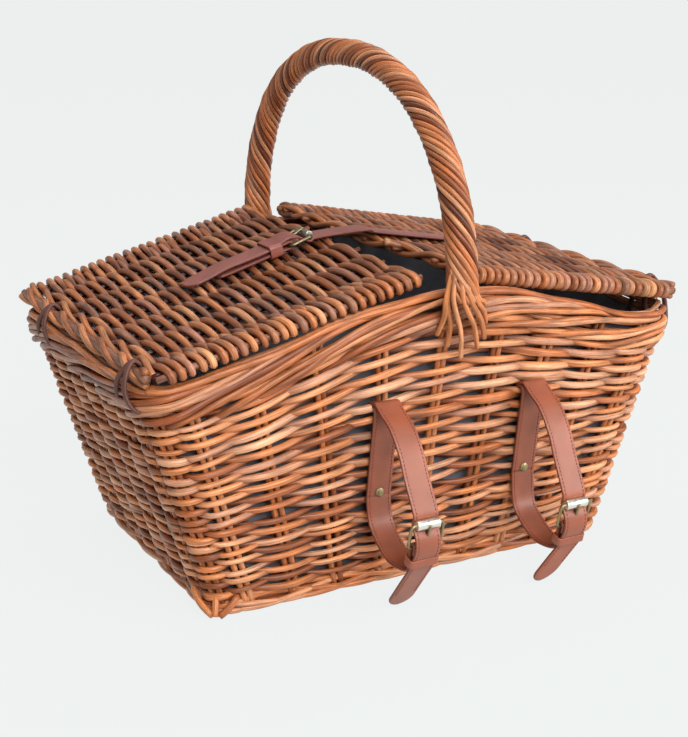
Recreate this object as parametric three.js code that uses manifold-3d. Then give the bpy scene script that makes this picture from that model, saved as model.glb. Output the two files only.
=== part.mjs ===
// A wicker picnic basket: a flared willow body with a humped rim, a twisted arch handle,
// two lids hinged on leather thongs, a closing strap and two buckled blanket straps.
// Millimetres, +Z up. X runs along the basket, the strapped front faces -Y, Z = 0 is the floor.
import * as THREE from 'three';
import { mergeVertices } from 'three/addons/utils/BufferGeometryUtils.js';
import Module from 'manifold-3d';

const wasm = await Module();
wasm.setup();

// Body
const BASE_HALF_LENGTH = 172;
const BASE_HALF_WIDTH = 120.5;
const RIM_HALF_LENGTH = 227;
const RIM_HALF_WIDTH = 131.5;
const RIM_BOW = 20;
const RIM_END_HEIGHT = 180;
const RIM_HUMP = 46;
const CORNER_RADIUS = 25;
const WALL_THICKNESS = 10;
const WEAVE_RELIEF = 4.2;
const WEAVER_ROWS = 10;
const LONG_WALL_STAKES = 14;
const END_WALL_STAKES = 8;
const FOOT_HEIGHT = 15;
const FOOT_THICKNESS = 14;
const BASE_THICKNESS = 11;
const BORDER_HEIGHT = 16;
const BORDER_THICKNESS = 15;
const LINING_THICKNESS = 1.2;
const LINING_DROP = 8;

// Handle
const HANDLE_APEX = 377;
const HANDLE_ROUNDNESS = 2.2;
const LEG_RADIUS = 11.7;
const APEX_RADIUS = 10.2;
const HANDLE_CORE_RADIUS = 5;
const HANDLE_RODS = 8;
const HANDLE_TURNS = 1.6;
const FOOT_FAN_DROP = 52;
const FOOT_FAN_HALF_WIDTH = 29;
const FOOT_FAN_HALF_THICKNESS = 3.2;
const FOOT_FAN_RODS = 5;
const LEG_SINK = 4;
const FOOT_FAN_CLEARANCE = 8;

// Lids
const LID_THICKNESS = 12;
const LEFT_LID_EDGE = -15;
const RIGHT_LID_EDGE = 8;
const RIGHT_LID_RAISE = 10;
const LID_HINGE_OVERHANG = 7.5;
const LID_EDGE_OVERHANG = 13.5;
const LID_RELIEF = 4.5;
const LID_WEAVERS = 26;
const LID_STAKES = 11;
const EDGE_STICK_RADIUS = 4.2;
const TIE_SHARES = [-0.78, 0.52];
const TIE_WIDTH = 9;

// Leather and buckles
const LEATHER = 2;
const STRAP_WIDTH = 20;
// Each blanket strap: its place along the front, and the heights of its gap, its rivet and its bar.
const BLANKET_STRAPS = {
  left: { x: -46, top: 148, rivet: 79, bar: 61 },
  right: { x: 81, top: 144, rivet: 75, bar: 51 },
};
const LID_STRAP_Y = -4;
const BUCKLE_LENGTH = 18;
const BUCKLE_SIDE_GAP = 1.6;
const BUCKLE_WIRE = 1.2;
const ROLLER_WALL = 1.2;
const PRONG_RADIUS = 1.2;
const PRONG_EYE_WIDTH = 4.4;
const PRONG_EYE_WALL = 1.6;
const TONGUE_LEAD = 6;
const KEEPER_REACH = 12;
const KEEPER_WIDTH = 9;
const KEEPER_WALL = 1.6;
const RIVET_RADIUS = 4.5;
const RIVET_HEIGHT = 2.2;

const GAP = 0.3;
const TIE_PLACES = TIE_SHARES.map((share) => share * RIM_HALF_WIDTH);

// Finishes
const FINISH = {
  willow: { color: 0xc07d4c, roughness: 0.55, metalness: 0 },
  lidWillow: { color: 0x8a5b3d, roughness: 0.6, metalness: 0 },
  leather: { color: 0xa85f44, roughness: 0.5, metalness: 0 },
  thong: { color: 0x5a3228, roughness: 0.65, metalness: 0 },
  cloth: { color: 0x4a4b50, roughness: 0.95, metalness: 0 },
  brass: { color: 0xa09060, roughness: 0.35, metalness: 1 },
  nickel: { color: 0xd8d4c4, roughness: 0.25, metalness: 1 },
};

const basket = new THREE.Group();

function addMesh(parent, name, geometry, finish) {
  const mesh = new THREE.Mesh(geometry, new THREE.MeshStandardMaterial(FINISH[finish]));
  mesh.name = name;
  parent.add(mesh);
  return mesh;
}

const lerp = THREE.MathUtils.lerp;
const V = (x, y, z) => new THREE.Vector3(x, y, z);

// A solid between a first and a last ring of points: every ring has the same count, and each
// end is closed by a fan from its centre.
function loft(rings, closedLoop = false) {
  const count = rings[0].length;
  const points = rings.flat();
  const index = [];
  const spans = closedLoop ? rings.length : rings.length - 1;
  for (let i = 0; i < spans; i++) {
    const here = i * count;
    const next = ((i + 1) % rings.length) * count;
    for (let j = 0; j < count; j++) {
      const k = (j + 1) % count;
      index.push(here + j, here + k, next + k, here + j, next + k, next + j);
    }
  }
  if (!closedLoop) {
    for (const [ring, start] of [[rings[0], 0], [rings.at(-1), (rings.length - 1) * count]]) {
      const centre = ring.reduce((sum, p) => sum.add(p), V(0, 0, 0)).divideScalar(count);
      const hub = points.push(centre) - 1;
      for (let j = 0; j < count; j++) {
        const k = (j + 1) % count;
        index.push(...(start === 0 ? [hub, start + k, start + j] : [hub, start + j, start + k]));
      }
    }
  }
  return faced(points, index);
}

// Faces of a closed surface, turned so that they point outwards.
function faced(points, index) {
  let volume = 0;
  for (let i = 0; i < index.length; i += 3) {
    const [a, b, c] = [points[index[i]], points[index[i + 1]], points[index[i + 2]]];
    volume += a.dot(b.clone().cross(c));
  }
  if (volume < 0) index.reverse();
  const geometry = new THREE.BufferGeometry();
  geometry.setAttribute('position', new THREE.Float32BufferAttribute(points.flatMap((p) => p.toArray()), 3));
  geometry.setIndex(index);
  geometry.computeVertexNormals();
  return geometry;
}

// A slab between two grids of points: front[i][j] and back[i][j] run the same way.
function slab(front, back) {
  const rows = front.length;
  const columns = front[0].length;
  const points = [...front.flat(), ...back.flat()];
  const at = (side, i, j) => side * rows * columns + i * columns + j;
  const index = [];
  const quad = (a, b, c, d) => index.push(a, b, c, a, c, d);
  for (let i = 0; i < rows - 1; i++) {
    for (let j = 0; j < columns - 1; j++) {
      quad(at(0, i, j), at(0, i + 1, j), at(0, i + 1, j + 1), at(0, i, j + 1));
      quad(at(1, i, j), at(1, i, j + 1), at(1, i + 1, j + 1), at(1, i + 1, j));
    }
  }
  for (let i = 0; i < rows - 1; i++) {
    quad(at(0, i, 0), at(1, i, 0), at(1, i + 1, 0), at(0, i + 1, 0));
    quad(at(0, i, columns - 1), at(0, i + 1, columns - 1), at(1, i + 1, columns - 1), at(1, i, columns - 1));
  }
  for (let j = 0; j < columns - 1; j++) {
    quad(at(0, 0, j), at(0, 0, j + 1), at(1, 0, j + 1), at(1, 0, j));
    quad(at(0, rows - 1, j), at(1, rows - 1, j), at(1, rows - 1, j + 1), at(0, rows - 1, j + 1));
  }
  return faced(points, index);
}

function solidOf(geometry) {
  const bare = geometry.clone();
  for (const name of Object.keys(bare.attributes)) {
    if (name !== 'position') bare.deleteAttribute(name);
  }
  const merged = mergeVertices(bare, 1e-5);
  return new wasm.Manifold(new wasm.Mesh({
    numProp: 3,
    vertProperties: new Float32Array(merged.attributes.position.array),
    triVerts: new Uint32Array(merged.index.array),
  }));
}

function geometryOf(solid) {
  const mesh = solid.getMesh();
  const geometry = new THREE.BufferGeometry();
  const points = [];
  for (let i = 0; i < mesh.vertProperties.length; i += mesh.numProp) {
    points.push(...mesh.vertProperties.subarray(i, i + 3));
  }
  geometry.setAttribute('position', new THREE.Float32BufferAttribute(points, 3));
  geometry.setIndex([...mesh.triVerts]);
  geometry.computeVertexNormals();
  return geometry;
}

function cut(geometry, tools) {
  return geometryOf(tools.reduce((solid, tool) => solid.subtract(solidOf(tool)), solidOf(geometry)));
}

function join(pieces) {
  return geometryOf(pieces.slice(1).reduce((solid, piece) => solid.add(solidOf(piece)), solidOf(pieces[0])));
}

const boxAt = (size, centre) => new THREE.BoxGeometry(...size).translate(...centre);

// The outline of the body at a height. The corners are round, the long sides bow outwards.
const halfLengthAt = (z) => lerp(BASE_HALF_LENGTH, RIM_HALF_LENGTH, z / RIM_END_HEIGHT);
const halfWidthAt = (z) => lerp(BASE_HALF_WIDTH, RIM_HALF_WIDTH, z / RIM_END_HEIGHT);
const bowAt = (z) => RIM_BOW * Math.max(z, 0) ** 1.5 / (RIM_END_HEIGHT + RIM_HUMP) ** 1.5;
const rimTop = (x) => {
  const reach = Math.min(Math.abs(x) / (2 * RIM_HALF_LENGTH), 0.5);
  return RIM_END_HEIGHT + RIM_HUMP * Math.cos(Math.PI * reach) ** 2;
};

// A point of one side, -1..1 along it, from mitre to mitre, set in from the outer face.
const STRAIGHT_SHARE = 0.9;
const SIDE_TURNS = { front: 0, right: 1, back: 2, left: 3 };
function outlinePoint(side, along, z, inset) {
  const turns = SIDE_TURNS[side];
  const length = halfLengthAt(z);
  const width = halfWidthAt(z);
  const halfRun = (turns % 2 ? width : length) - inset;
  const halfDepth = (turns % 2 ? length : width) - inset;
  const radius = CORNER_RADIUS - inset;
  const straight = Math.min(Math.abs(along) / STRAIGHT_SHARE, 1);
  const turn = Math.max(Math.abs(along) - STRAIGHT_SHARE, 0) / (1 - STRAIGHT_SHARE) * Math.PI / 4;
  const run = Math.sign(along) * (straight * (halfRun - radius) + radius * Math.sin(turn));
  const depth = halfDepth - radius + radius * Math.cos(turn);
  const point = V(run, -depth, z).applyAxisAngle(V(0, 0, 1), turns * Math.PI / 2);
  point.y *= 1 + bowAt(z) * Math.max(1 - (point.x / length) ** 2, 0) / width;
  return point;
}
const sideTop = (side, along) => rimTop(outlinePoint(side, along, RIM_END_HEIGHT, 0).x);

// Places along a side: even on the straight stretch, two steps round each half corner.
const MITRE_GAP = 0.0012;
function placesAlong(steps) {
  const straight = Array.from({ length: steps + 1 }, (_, i) => STRAIGHT_SHARE * (2 * i / steps - 1));
  const corner = (STRAIGHT_SHARE + 1) / 2;
  return [-1 + MITRE_GAP, -corner, ...straight, corner, 1 - MITRE_GAP];
}

// Base and foot border: the foot is a plaited ring, flat where it stands on the floor.
const ringPlaces = Object.keys(SIDE_TURNS).flatMap((side) => {
  const steps = SIDE_TURNS[side] % 2 ? 8 : 12;
  return placesAlong(steps).slice(0, -1).map((along, i) => ({ side, along: i === 0 ? -1 : along }));
});

const ringAt = (z, inset) => ringPlaces.map(({ side, along }) => outlinePoint(side, along, z, inset));

const FOOT_SECTION = [
  [0.22, 0], [0.78, 0], [1, 0.3], [1, 0.7], [0.78, 1], [0.22, 1], [0, 0.7], [0, 0.3],
];
const FOOT_PLAIT = 0.8;
const footRings = ringPlaces.map(({ side, along }, i) => FOOT_SECTION.map(([depth, height], k) => {
  const swell = (k === 2 || k === 3) && (i + k) % 2 ? FOOT_PLAIT : 0;
  return outlinePoint(side, along, height * FOOT_HEIGHT, depth === 1 ? -swell : FOOT_THICKNESS * (1 - depth));
}));
addMesh(basket, 'foot_border', loft(footRings, true), 'willow');

const baseInset = FOOT_THICKNESS + GAP;
addMesh(basket, 'base_panel', loft([
  ringAt(0, baseInset), ringAt(BASE_THICKNESS, baseInset),
]), 'willow');

// Walls: each is one woven side between the corner mitres, over-one-under-one on its outer face.
const wallFoot = FOOT_HEIGHT + GAP;
const wallHead = (side, along) => sideTop(side, along) - BORDER_HEIGHT - GAP;

function wall(side, stakes) {
  const places = placesAlong(stakes);
  const sheet = (inset, relief) => places.map((along, i) => Array.from({ length: WEAVER_ROWS + 1 }, (_, j) => {
    const z = lerp(wallFoot, wallHead(side, along), j / WEAVER_ROWS);
    const edge = j === 0 || j === WEAVER_ROWS || i === 0 || i === places.length - 1;
    const sunk = !edge && (i + j) % 2 ? relief : 0;
    return outlinePoint(side, along, z, inset + sunk);
  }));
  return slab(sheet(0, WEAVE_RELIEF), sheet(WALL_THICKNESS, 0));
}

// Hinge line of the lids, over the middle of the end borders.
const hingeX = halfLengthAt(RIM_END_HEIGHT - BORDER_HEIGHT / 2) - BORDER_THICKNESS / 2;
const rodRadius = LID_THICKNESS / 2;
const LIDS = {
  left: { sign: -1, axisZ: RIM_END_HEIGHT + GAP + rodRadius, edge: LEFT_LID_EDGE },
  right: { sign: 1, axisZ: RIM_END_HEIGHT + GAP + rodRadius + RIGHT_LID_RAISE, edge: RIGHT_LID_EDGE },
};

// The thongs: stadium loops round a lid's hinge rod and the end border.
const tieInner = Math.max(BORDER_THICKNESS, BORDER_HEIGHT) / 2 + GAP;
const tieOuter = tieInner + LEATHER;
const tieLow = RIM_END_HEIGHT - BORDER_HEIGHT / 2;
const tieNotchFloor = tieLow - tieOuter - GAP;

function endWall(side) {
  const sign = side === 'left' ? -1 : 1;
  const head = RIM_END_HEIGHT - BORDER_HEIGHT;
  const notches = TIE_PLACES.map((y) => boxAt(
    [4 * WALL_THICKNESS, TIE_WIDTH + 2 * GAP, 2 * (head - tieNotchFloor)],
    [sign * (RIM_HALF_LENGTH - WALL_THICKNESS), y, head],
  ));
  return cut(wall(side, END_WALL_STAKES), notches);
}

addMesh(basket, 'front_wall', wall('front', LONG_WALL_STAKES), 'willow');
addMesh(basket, 'back_wall', wall('back', LONG_WALL_STAKES), 'willow');
addMesh(basket, 'left_end_wall', endWall('left'), 'willow');
addMesh(basket, 'right_end_wall', endWall('right'), 'willow');

// Rim border: thick plaited edge on each side, its strands sweeping round the section.
const BORDER_POINTS = 8;
const BORDER_STRANDS = 4;
const BORDER_SWEEP = 0.45;
const BORDER_RELIEF = 1.4;

function border(side, steps) {
  const places = placesAlong(steps);
  return loft(places.map((along, i) => Array.from({ length: BORDER_POINTS }, (_, k) => {
    const angle = 2 * Math.PI * k / BORDER_POINTS;
    const sunk = BORDER_RELIEF * (0.5 - 0.5 * Math.cos(BORDER_STRANDS * angle + BORDER_SWEEP * Math.PI * i));
    const across = (BORDER_THICKNESS / 2 - sunk) * Math.sin(angle);
    const up = (BORDER_HEIGHT / 2 - sunk) * Math.cos(angle);
    const z = sideTop(side, along) - BORDER_HEIGHT / 2 + up;
    const inset = BORDER_THICKNESS / 2 - across;
    const middle = outlinePoint(side, along, sideTop(side, along) - BORDER_HEIGHT / 2, inset);
    return V(middle.x, middle.y, z);
  })));
}
for (const side of Object.keys(SIDE_TURNS)) {
  addMesh(basket, `${side}_rim_border`, border(side, SIDE_TURNS[side] % 2 ? 10 : 20), 'willow');
}

// Lining: an open cloth tub just inside the walls, its hem under the rim border.
const LINING_LEVELS = 2;
const liningFloor = BASE_THICKNESS + GAP;
function liningRing(level, inset, floor) {
  return ringPlaces.map(({ side, along }) => {
    const hem = wallHead(side, along) - LINING_DROP;
    return outlinePoint(side, along, lerp(floor, hem, level / LINING_LEVELS), inset);
  });
}
const liningLevels = Array.from({ length: LINING_LEVELS + 1 }, (_, i) => i);
const liningOuter = Math.max(WALL_THICKNESS, baseInset) + GAP;
addMesh(basket, 'lining', loft([
  ...liningLevels.map((level) => liningRing(level, liningOuter, liningFloor)),
  ...liningLevels.toReversed().map((level) => (
    liningRing(level, liningOuter + LINING_THICKNESS, liningFloor + LINING_THICKNESS)
  )),
]), 'cloth');

// Handle: a bow of core rods with thinner rods twisted round it, from leg to leg over the basket.
const borderOuterY = -outlinePoint('front', 0, RIM_END_HEIGHT + RIM_HUMP - BORDER_HEIGHT / 2, 0).y;
const legY = borderOuterY + GAP + LEG_RADIUS;
const legFoot = RIM_END_HEIGHT + RIM_HUMP - LEG_SINK;
const handleRise = HANDLE_APEX - legFoot;

// The arch is a superellipse in the plane x = 0; share runs from the front leg to the back leg.
function archPoint(share) {
  const angle = Math.PI * (1 - share);
  const power = 2 / HANDLE_ROUNDNESS;
  const reach = Math.sign(Math.cos(angle)) * Math.abs(Math.cos(angle)) ** power;
  return V(0, legY * reach, legFoot + handleRise * Math.sin(angle) ** power);
}

const HANDLE_STEPS = 26;
function archRings(points, radiusAt) {
  return Array.from({ length: HANDLE_STEPS + 1 }, (_, i) => {
    const share = i / HANDLE_STEPS;
    const ahead = archPoint(Math.min(share + 0.004, 1));
    const behind = archPoint(Math.max(share - 0.004, 0));
    const tangent = i === 0 ? V(0, 0, 1) : i === HANDLE_STEPS ? V(0, 0, -1) : ahead.sub(behind).normalize();
    const outward = V(1, 0, 0).cross(tangent);
    return Array.from({ length: points }, (_, k) => {
      const angle = 2 * Math.PI * k / points;
      const radius = radiusAt(share, angle);
      return archPoint(share).addScaledVector(V(1, 0, 0), radius * Math.cos(angle))
        .addScaledVector(outward, radius * Math.sin(angle));
    });
  });
}

const ROD_GROOVE = 0.16;
const handleRadius = (share) => lerp(APEX_RADIUS, LEG_RADIUS, (2 * share - 1) ** 2);
const twistedRadius = (share, angle) => {
  const lobe = Math.abs(Math.sin(HANDLE_RODS / 2 * (angle - 2 * Math.PI * HANDLE_TURNS * share)));
  return handleRadius(share) * (1 - ROD_GROOVE * (1 - lobe));
};
const WRAP_POINTS = 2 * HANDLE_RODS;
const wrapRings = archRings(WRAP_POINTS, twistedRadius);
const boreRings = archRings(WRAP_POINTS, () => HANDLE_CORE_RADIUS + GAP);
const coreRings = archRings(HANDLE_RODS, () => HANDLE_CORE_RADIUS);
addMesh(basket, 'handle_wrap', tubeWall(wrapRings, boreRings), 'willow');
addMesh(basket, 'handle_core', loft(coreRings), 'willow');

// A tube with a wall between an outer and an inner run of rings, open at both ends.
function tubeWall(outer, inner) {
  return loft([...outer, ...inner.toReversed()], true);
}

// Handle feet: the rod ends fan out below each leg and lie against the wall.
const FAN_STEPS = 6;
const FAN_POINTS = 4 * FOOT_FAN_RODS;
function handleFoot(facing) {
  const rings = Array.from({ length: FAN_STEPS + 1 }, (_, i) => {
    const share = i / FAN_STEPS;
    const spread = share * share * (3 - 2 * share);
    const z = legFoot - GAP - share * FOOT_FAN_DROP;
    const halfWidth = lerp(LEG_RADIUS, FOOT_FAN_HALF_WIDTH, spread);
    const halfDepth = lerp(LEG_RADIUS, FOOT_FAN_HALF_THICKNESS, spread);
    const outer = -outlinePoint('front', 0, z, 0).y;
    const seat = z > RIM_END_HEIGHT + RIM_HUMP - BORDER_HEIGHT - FOOT_FAN_CLEARANCE ? Math.max(outer, borderOuterY) : outer;
    return Array.from({ length: FAN_POINTS }, (_, k) => {
      const angle = 2 * Math.PI * k / FAN_POINTS;
      const groove = 1 - 0.35 * spread * (0.5 + 0.5 * Math.cos(2 * FOOT_FAN_RODS * angle));
      const across = halfWidth * Math.cos(angle);
      const bulge = halfDepth * Math.sin(angle) * (Math.sin(angle) > 0 ? groove : 1);
      return V(across, facing * (seat + GAP + halfDepth + bulge), z);
    });
  });
  return loft(rings);
}
addMesh(basket, 'front_handle_foot', handleFoot(-1), 'willow');
addMesh(basket, 'back_handle_foot', handleFoot(1), 'willow');

// Hinge thongs
function tie(lid) {
  const loop = (radius) => {
    const shape = new THREE.Shape();
    shape.absarc(0, lid.axisZ, radius, 0, Math.PI, false);
    shape.absarc(0, tieLow, radius, Math.PI, 2 * Math.PI, false);
    return shape;
  };
  const shape = loop(tieOuter);
  shape.holes.push(loop(tieInner));
  const geometry = new THREE.ExtrudeGeometry(shape, { depth: TIE_WIDTH, bevelEnabled: false, curveSegments: 5 });
  return geometry.translate(0, 0, -TIE_WIDTH / 2).rotateX(Math.PI / 2);
}
for (const [side, lid] of Object.entries(LIDS)) {
  TIE_PLACES.forEach((y, i) => {
    const mesh = addMesh(basket, `${side}_hinge_tie_${i + 1}`, tie(lid), 'thong');
    mesh.position.set(lid.sign * hingeX, y, 0);
  });
}

// Lids lie on the humps of the long borders: the tilt is the least that clears them.
const LID_SEAT_SAMPLES = 400;
function lidTilt(lid) {
  let tilt = 0;
  for (let i = 1; i <= LID_SEAT_SAMPLES; i++) {
    const x = lerp(lid.sign * (hingeX - 2 * rodRadius), lid.edge, i / LID_SEAT_SAMPLES);
    const run = hingeX - lid.sign * x;
    const rise = rimTop(x) - lid.axisZ;
    tilt = Math.max(tilt, Math.atan2(rise, run) + Math.asin((rodRadius + GAP) / Math.hypot(run, rise)));
  }
  return tilt;
}

// A lid group: its origin is the hinge axis, +X runs towards the handle and +Z out of its top.
function lidGroup(lid) {
  const group = new THREE.Group();
  group.position.set(lid.sign * hingeX, 0, lid.axisZ);
  const tilt = lidTilt(lid);
  group.rotation.set(0, lid.sign * tilt, lid.sign > 0 ? Math.PI : 0);
  basket.add(group);
  lid.group = group;
  lid.tilt = tilt;
  lid.reach = (hingeX - lid.sign * lid.edge) / Math.cos(tilt) - 2 * EDGE_STICK_RADIUS - GAP;
}

// A lid panel: weavers run front to back over the stakes and turn round the outer ones.
const lidHingeHalfWidth = RIM_HALF_WIDTH + LID_HINGE_OVERHANG;
const lidEdgeHalfWidth = RIM_HALF_WIDTH + LID_EDGE_OVERHANG;
function lidPanel(lid) {
  const start = rodRadius + GAP;
  const rows = Array.from({ length: LID_WEAVERS + 1 }, (_, i) => i);
  const columns = Array.from({ length: LID_STAKES + 1 }, (_, j) => j);
  const sheet = (facing) => rows.map((i) => columns.map((j) => {
    const run = lerp(start, lid.reach, i / LID_WEAVERS);
    const halfWidth = lerp(lidHingeHalfWidth, lidEdgeHalfWidth, i / LID_WEAVERS);
    const edge = j === 0 || j === LID_STAKES;
    const loop = edge && i % 2 ? LID_RELIEF : 0;
    const sunk = edge ? LID_THICKNESS / 4 : (i + j + (facing > 0 ? 1 : 0)) % 2 * LID_RELIEF;
    const y = (halfWidth - loop) * (2 * j / LID_STAKES - 1);
    return V(run, y, facing * (LID_THICKNESS / 2 - sunk));
  }));
  const notchDepth = tieOuter + GAP - start;
  const notches = TIE_PLACES.map((y) => boxAt(
    [2 * notchDepth, TIE_WIDTH + 2 * GAP, 2 * LID_THICKNESS],
    [start, -lid.sign * y, 0],
  ));
  return cut(slab(sheet(1), sheet(-1)), notches);
}

const rod = (radius, length, sides) => new THREE.CylinderGeometry(radius, radius, length, sides);
for (const [side, lid] of Object.entries(LIDS)) {
  lidGroup(lid);
  addMesh(lid.group, `${side}_lid_panel`, lidPanel(lid), 'lidWillow');
  addMesh(lid.group, `${side}_lid_hinge_rod`, rod(rodRadius, 2 * lidHingeHalfWidth, 12), 'lidWillow');
  const stick = addMesh(
    lid.group, `${side}_lid_edge_stick`, rod(EDGE_STICK_RADIUS, 2 * lidEdgeHalfWidth, 10), 'lidWillow',
  );
  stick.position.x = lid.reach + GAP + EDGE_STICK_RADIUS;
}

// Buckles. In a buckle's own frame X runs across the strap, Y from the bar to the roller and
// Z out of the front; the bar is at the origin.
const rollerRadius = BUCKLE_WIRE + GAP + ROLLER_WALL;
const foldInner = BUCKLE_WIRE + GAP;
const foldOuter = foldInner + LEATHER;
const frameHalfWidth = STRAP_WIDTH / 2 + BUCKLE_SIDE_GAP + BUCKLE_WIRE;
const tongueUnderRoller = -(rollerRadius + GAP + LEATHER / 2);
const tongueOverBar = foldOuter + 2 * GAP + LEATHER / 2;

const FRAME_SIDES = 8;
const FRAME_CORNER = 3;
function buckleFrame() {
  const corners = [[1, 0], [1, 1], [-1, 1], [-1, 0]];
  const path = corners.flatMap(([x, y], c) => [0, 1, 2].map((k) => {
    const angle = (c - 1) * Math.PI / 2 + k * Math.PI / 4;
    const middle = V(x * (frameHalfWidth - FRAME_CORNER), y ? BUCKLE_LENGTH - FRAME_CORNER : FRAME_CORNER, 0);
    const out = V(Math.cos(angle), Math.sin(angle), 0);
    return { at: middle.addScaledVector(out, FRAME_CORNER), out };
  }));
  const rings = path.map(({ at, out }) => Array.from({ length: FRAME_SIDES }, (_, k) => {
    const angle = 2 * Math.PI * k / FRAME_SIDES;
    return at.clone().addScaledVector(out, BUCKLE_WIRE * Math.cos(angle)).setZ(BUCKLE_WIRE * Math.sin(angle));
  }));
  return loft(rings, true);
}

const ROLLER_SIDES = 8;
function sleeve(inner, outer, length) {
  const profile = [[inner, -1], [outer, -1], [outer, 1], [inner, 1], [inner, -1]];
  const points = profile.map(([r, end]) => new THREE.Vector2(r, end * length / 2));
  return mergeVertices(bareLathe(points)).rotateZ(Math.PI / 2);
}
function bareLathe(points) {
  const geometry = new THREE.LatheGeometry(points, ROLLER_SIDES);
  geometry.deleteAttribute('normal');
  geometry.deleteAttribute('uv');
  return geometry;
}
const roller = () => sleeve(BUCKLE_WIRE + GAP, rollerRadius, STRAP_WIDTH - 2 * BUCKLE_SIDE_GAP)
  .translate(0, BUCKLE_LENGTH, 0);

// The prong turns on the bar by an eye and rests on the roller.
const prongTip = { along: BUCKLE_LENGTH + PRONG_RADIUS, out: rollerRadius + GAP + PRONG_RADIUS };
const prongRoot = { along: BUCKLE_WIRE, out: foldInner };
function prongShaft(radius, sides) {
  const run = prongTip.along - prongRoot.along;
  const rise = prongTip.out - prongRoot.out;
  const geometry = new THREE.CylinderGeometry(0.75 * radius, radius, Math.hypot(run, rise), sides);
  geometry.rotateX(Math.atan2(rise, run));
  return geometry.translate(0, (prongTip.along + prongRoot.along) / 2, (prongTip.out + prongRoot.out) / 2);
}
function prong() {
  return join([sleeve(foldInner, foldInner + PRONG_EYE_WALL, PRONG_EYE_WIDTH), prongShaft(PRONG_RADIUS, 8)]);
}

// A loop of leather round the chape and the tongue, between two heights of the buckle's frame.
const keeperLow = -foldOuter - GAP;
const keeperTongue = tongueOverBar - LEATHER / 4;
const keeperHigh = tongueOverBar + LEATHER / 2 + GAP;
function keeper() {
  const rectangle = (grow, path) => {
    const half = STRAP_WIDTH / 2 + GAP + grow;
    path.moveTo(-half, keeperLow - grow);
    path.lineTo(half, keeperLow - grow);
    path.lineTo(half, keeperHigh + grow);
    path.lineTo(-half, keeperHigh + grow);
    path.closePath();
    return path;
  };
  const shape = rectangle(KEEPER_WALL, new THREE.Shape());
  shape.holes.push(rectangle(0, new THREE.Path()));
  const geometry = new THREE.ExtrudeGeometry(shape, { depth: KEEPER_WIDTH, bevelEnabled: false });
  return geometry.rotateX(Math.PI / 2).translate(0, KEEPER_WIDTH / 2 - KEEPER_REACH, 0);
}

// A domed rivet standing on the plane Z = 0.
function rivet() {
  const dome = Array.from({ length: 3 }, (_, i) => {
    const angle = Math.PI / 2 * i / 2;
    return new THREE.Vector2(RIVET_RADIUS * Math.cos(angle), RIVET_HEIGHT * (0.35 + 0.65 * Math.sin(angle)));
  });
  dome[2].x = 0;
  const points = [new THREE.Vector2(0, 0), new THREE.Vector2(RIVET_RADIUS, 0), ...dome];
  return mergeVertices(bareLathe(points)).rotateX(Math.PI / 2);
}

// A strip of leather: its middle line is given in a plane (u, v) and carried across its width.
// Each span between two points of the line has the same number of steps.
const STRIP_STEPS = 2;
function strip(points) {
  const curve = new THREE.CatmullRomCurve3(points.map(([u, v]) => V(u, v, 0)), false, 'catmullrom', 0.5);
  const last = STRIP_STEPS * (points.length - 1);
  const middle = curve.getPoints(last);
  const side = (sign) => middle.map((p, i) => {
    const tangent = middle[Math.min(i + 1, last)].clone().sub(middle[Math.max(i - 1, 0)]).normalize();
    return new THREE.Vector2(p.x - sign * tangent.y * LEATHER / 2, p.y + sign * tangent.x * LEATHER / 2);
  });
  const shape = new THREE.Shape([...side(1), ...side(-1).reverse()]);
  const geometry = new THREE.ExtrudeGeometry(shape, { depth: STRAP_WIDTH, bevelEnabled: false });
  return geometry.translate(0, 0, -STRAP_WIDTH / 2);
}

// What is cut off a tail to round its tip: the tip is at the origin and the tail comes from -Y.
function tipCutter() {
  const half = STRAP_WIDTH / 2;
  const spare = 2 * LEATHER;
  const shape = new THREE.Shape();
  shape.moveTo(half + spare, -half);
  shape.lineTo(half + spare, spare);
  shape.lineTo(-half - spare, spare);
  shape.lineTo(-half - spare, -half);
  shape.lineTo(-half, -half);
  shape.absarc(0, -half, half, Math.PI, 0, true);
  const geometry = new THREE.ExtrudeGeometry(shape, { depth: 4 * LEATHER, bevelEnabled: false, curveSegments: 10 });
  return geometry.translate(0, 0, -2 * LEATHER);
}

// The chape: the end of a band folds round the bar from behind and laps back on its front.
const CHAPE_LAP = 6;
const foldMiddle = foldInner + LEATHER / 2;
const chapeFold = [
  ...[-90, -45, 0, 45, 90].map((degrees) => {
    const angle = THREE.MathUtils.degToRad(degrees);
    return [foldMiddle * Math.cos(angle), foldMiddle * Math.sin(angle)];
  }),
  [-CHAPE_LAP, foldMiddle],
];
const eyeSlot = () => {
  const reach = foldInner + PRONG_EYE_WALL + 2 * GAP;
  return boxAt([PRONG_EYE_WIDTH + 2 * GAP, 2 * reach, 2 * reach], [0, 0, 0]);
};
// The tongue's way past the buckle, as (along, out): under the roller, up over the bar.
const tonguePast = [
  [BUCKLE_LENGTH + TONGUE_LEAD, tongueUnderRoller],
  [BUCKLE_LENGTH, tongueUnderRoller],
  [BUCKLE_LENGTH / 2, (tongueUnderRoller + tongueOverBar) / 2],
  [0, tongueOverBar],
  [-CHAPE_LAP, tongueOverBar],
];

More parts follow.
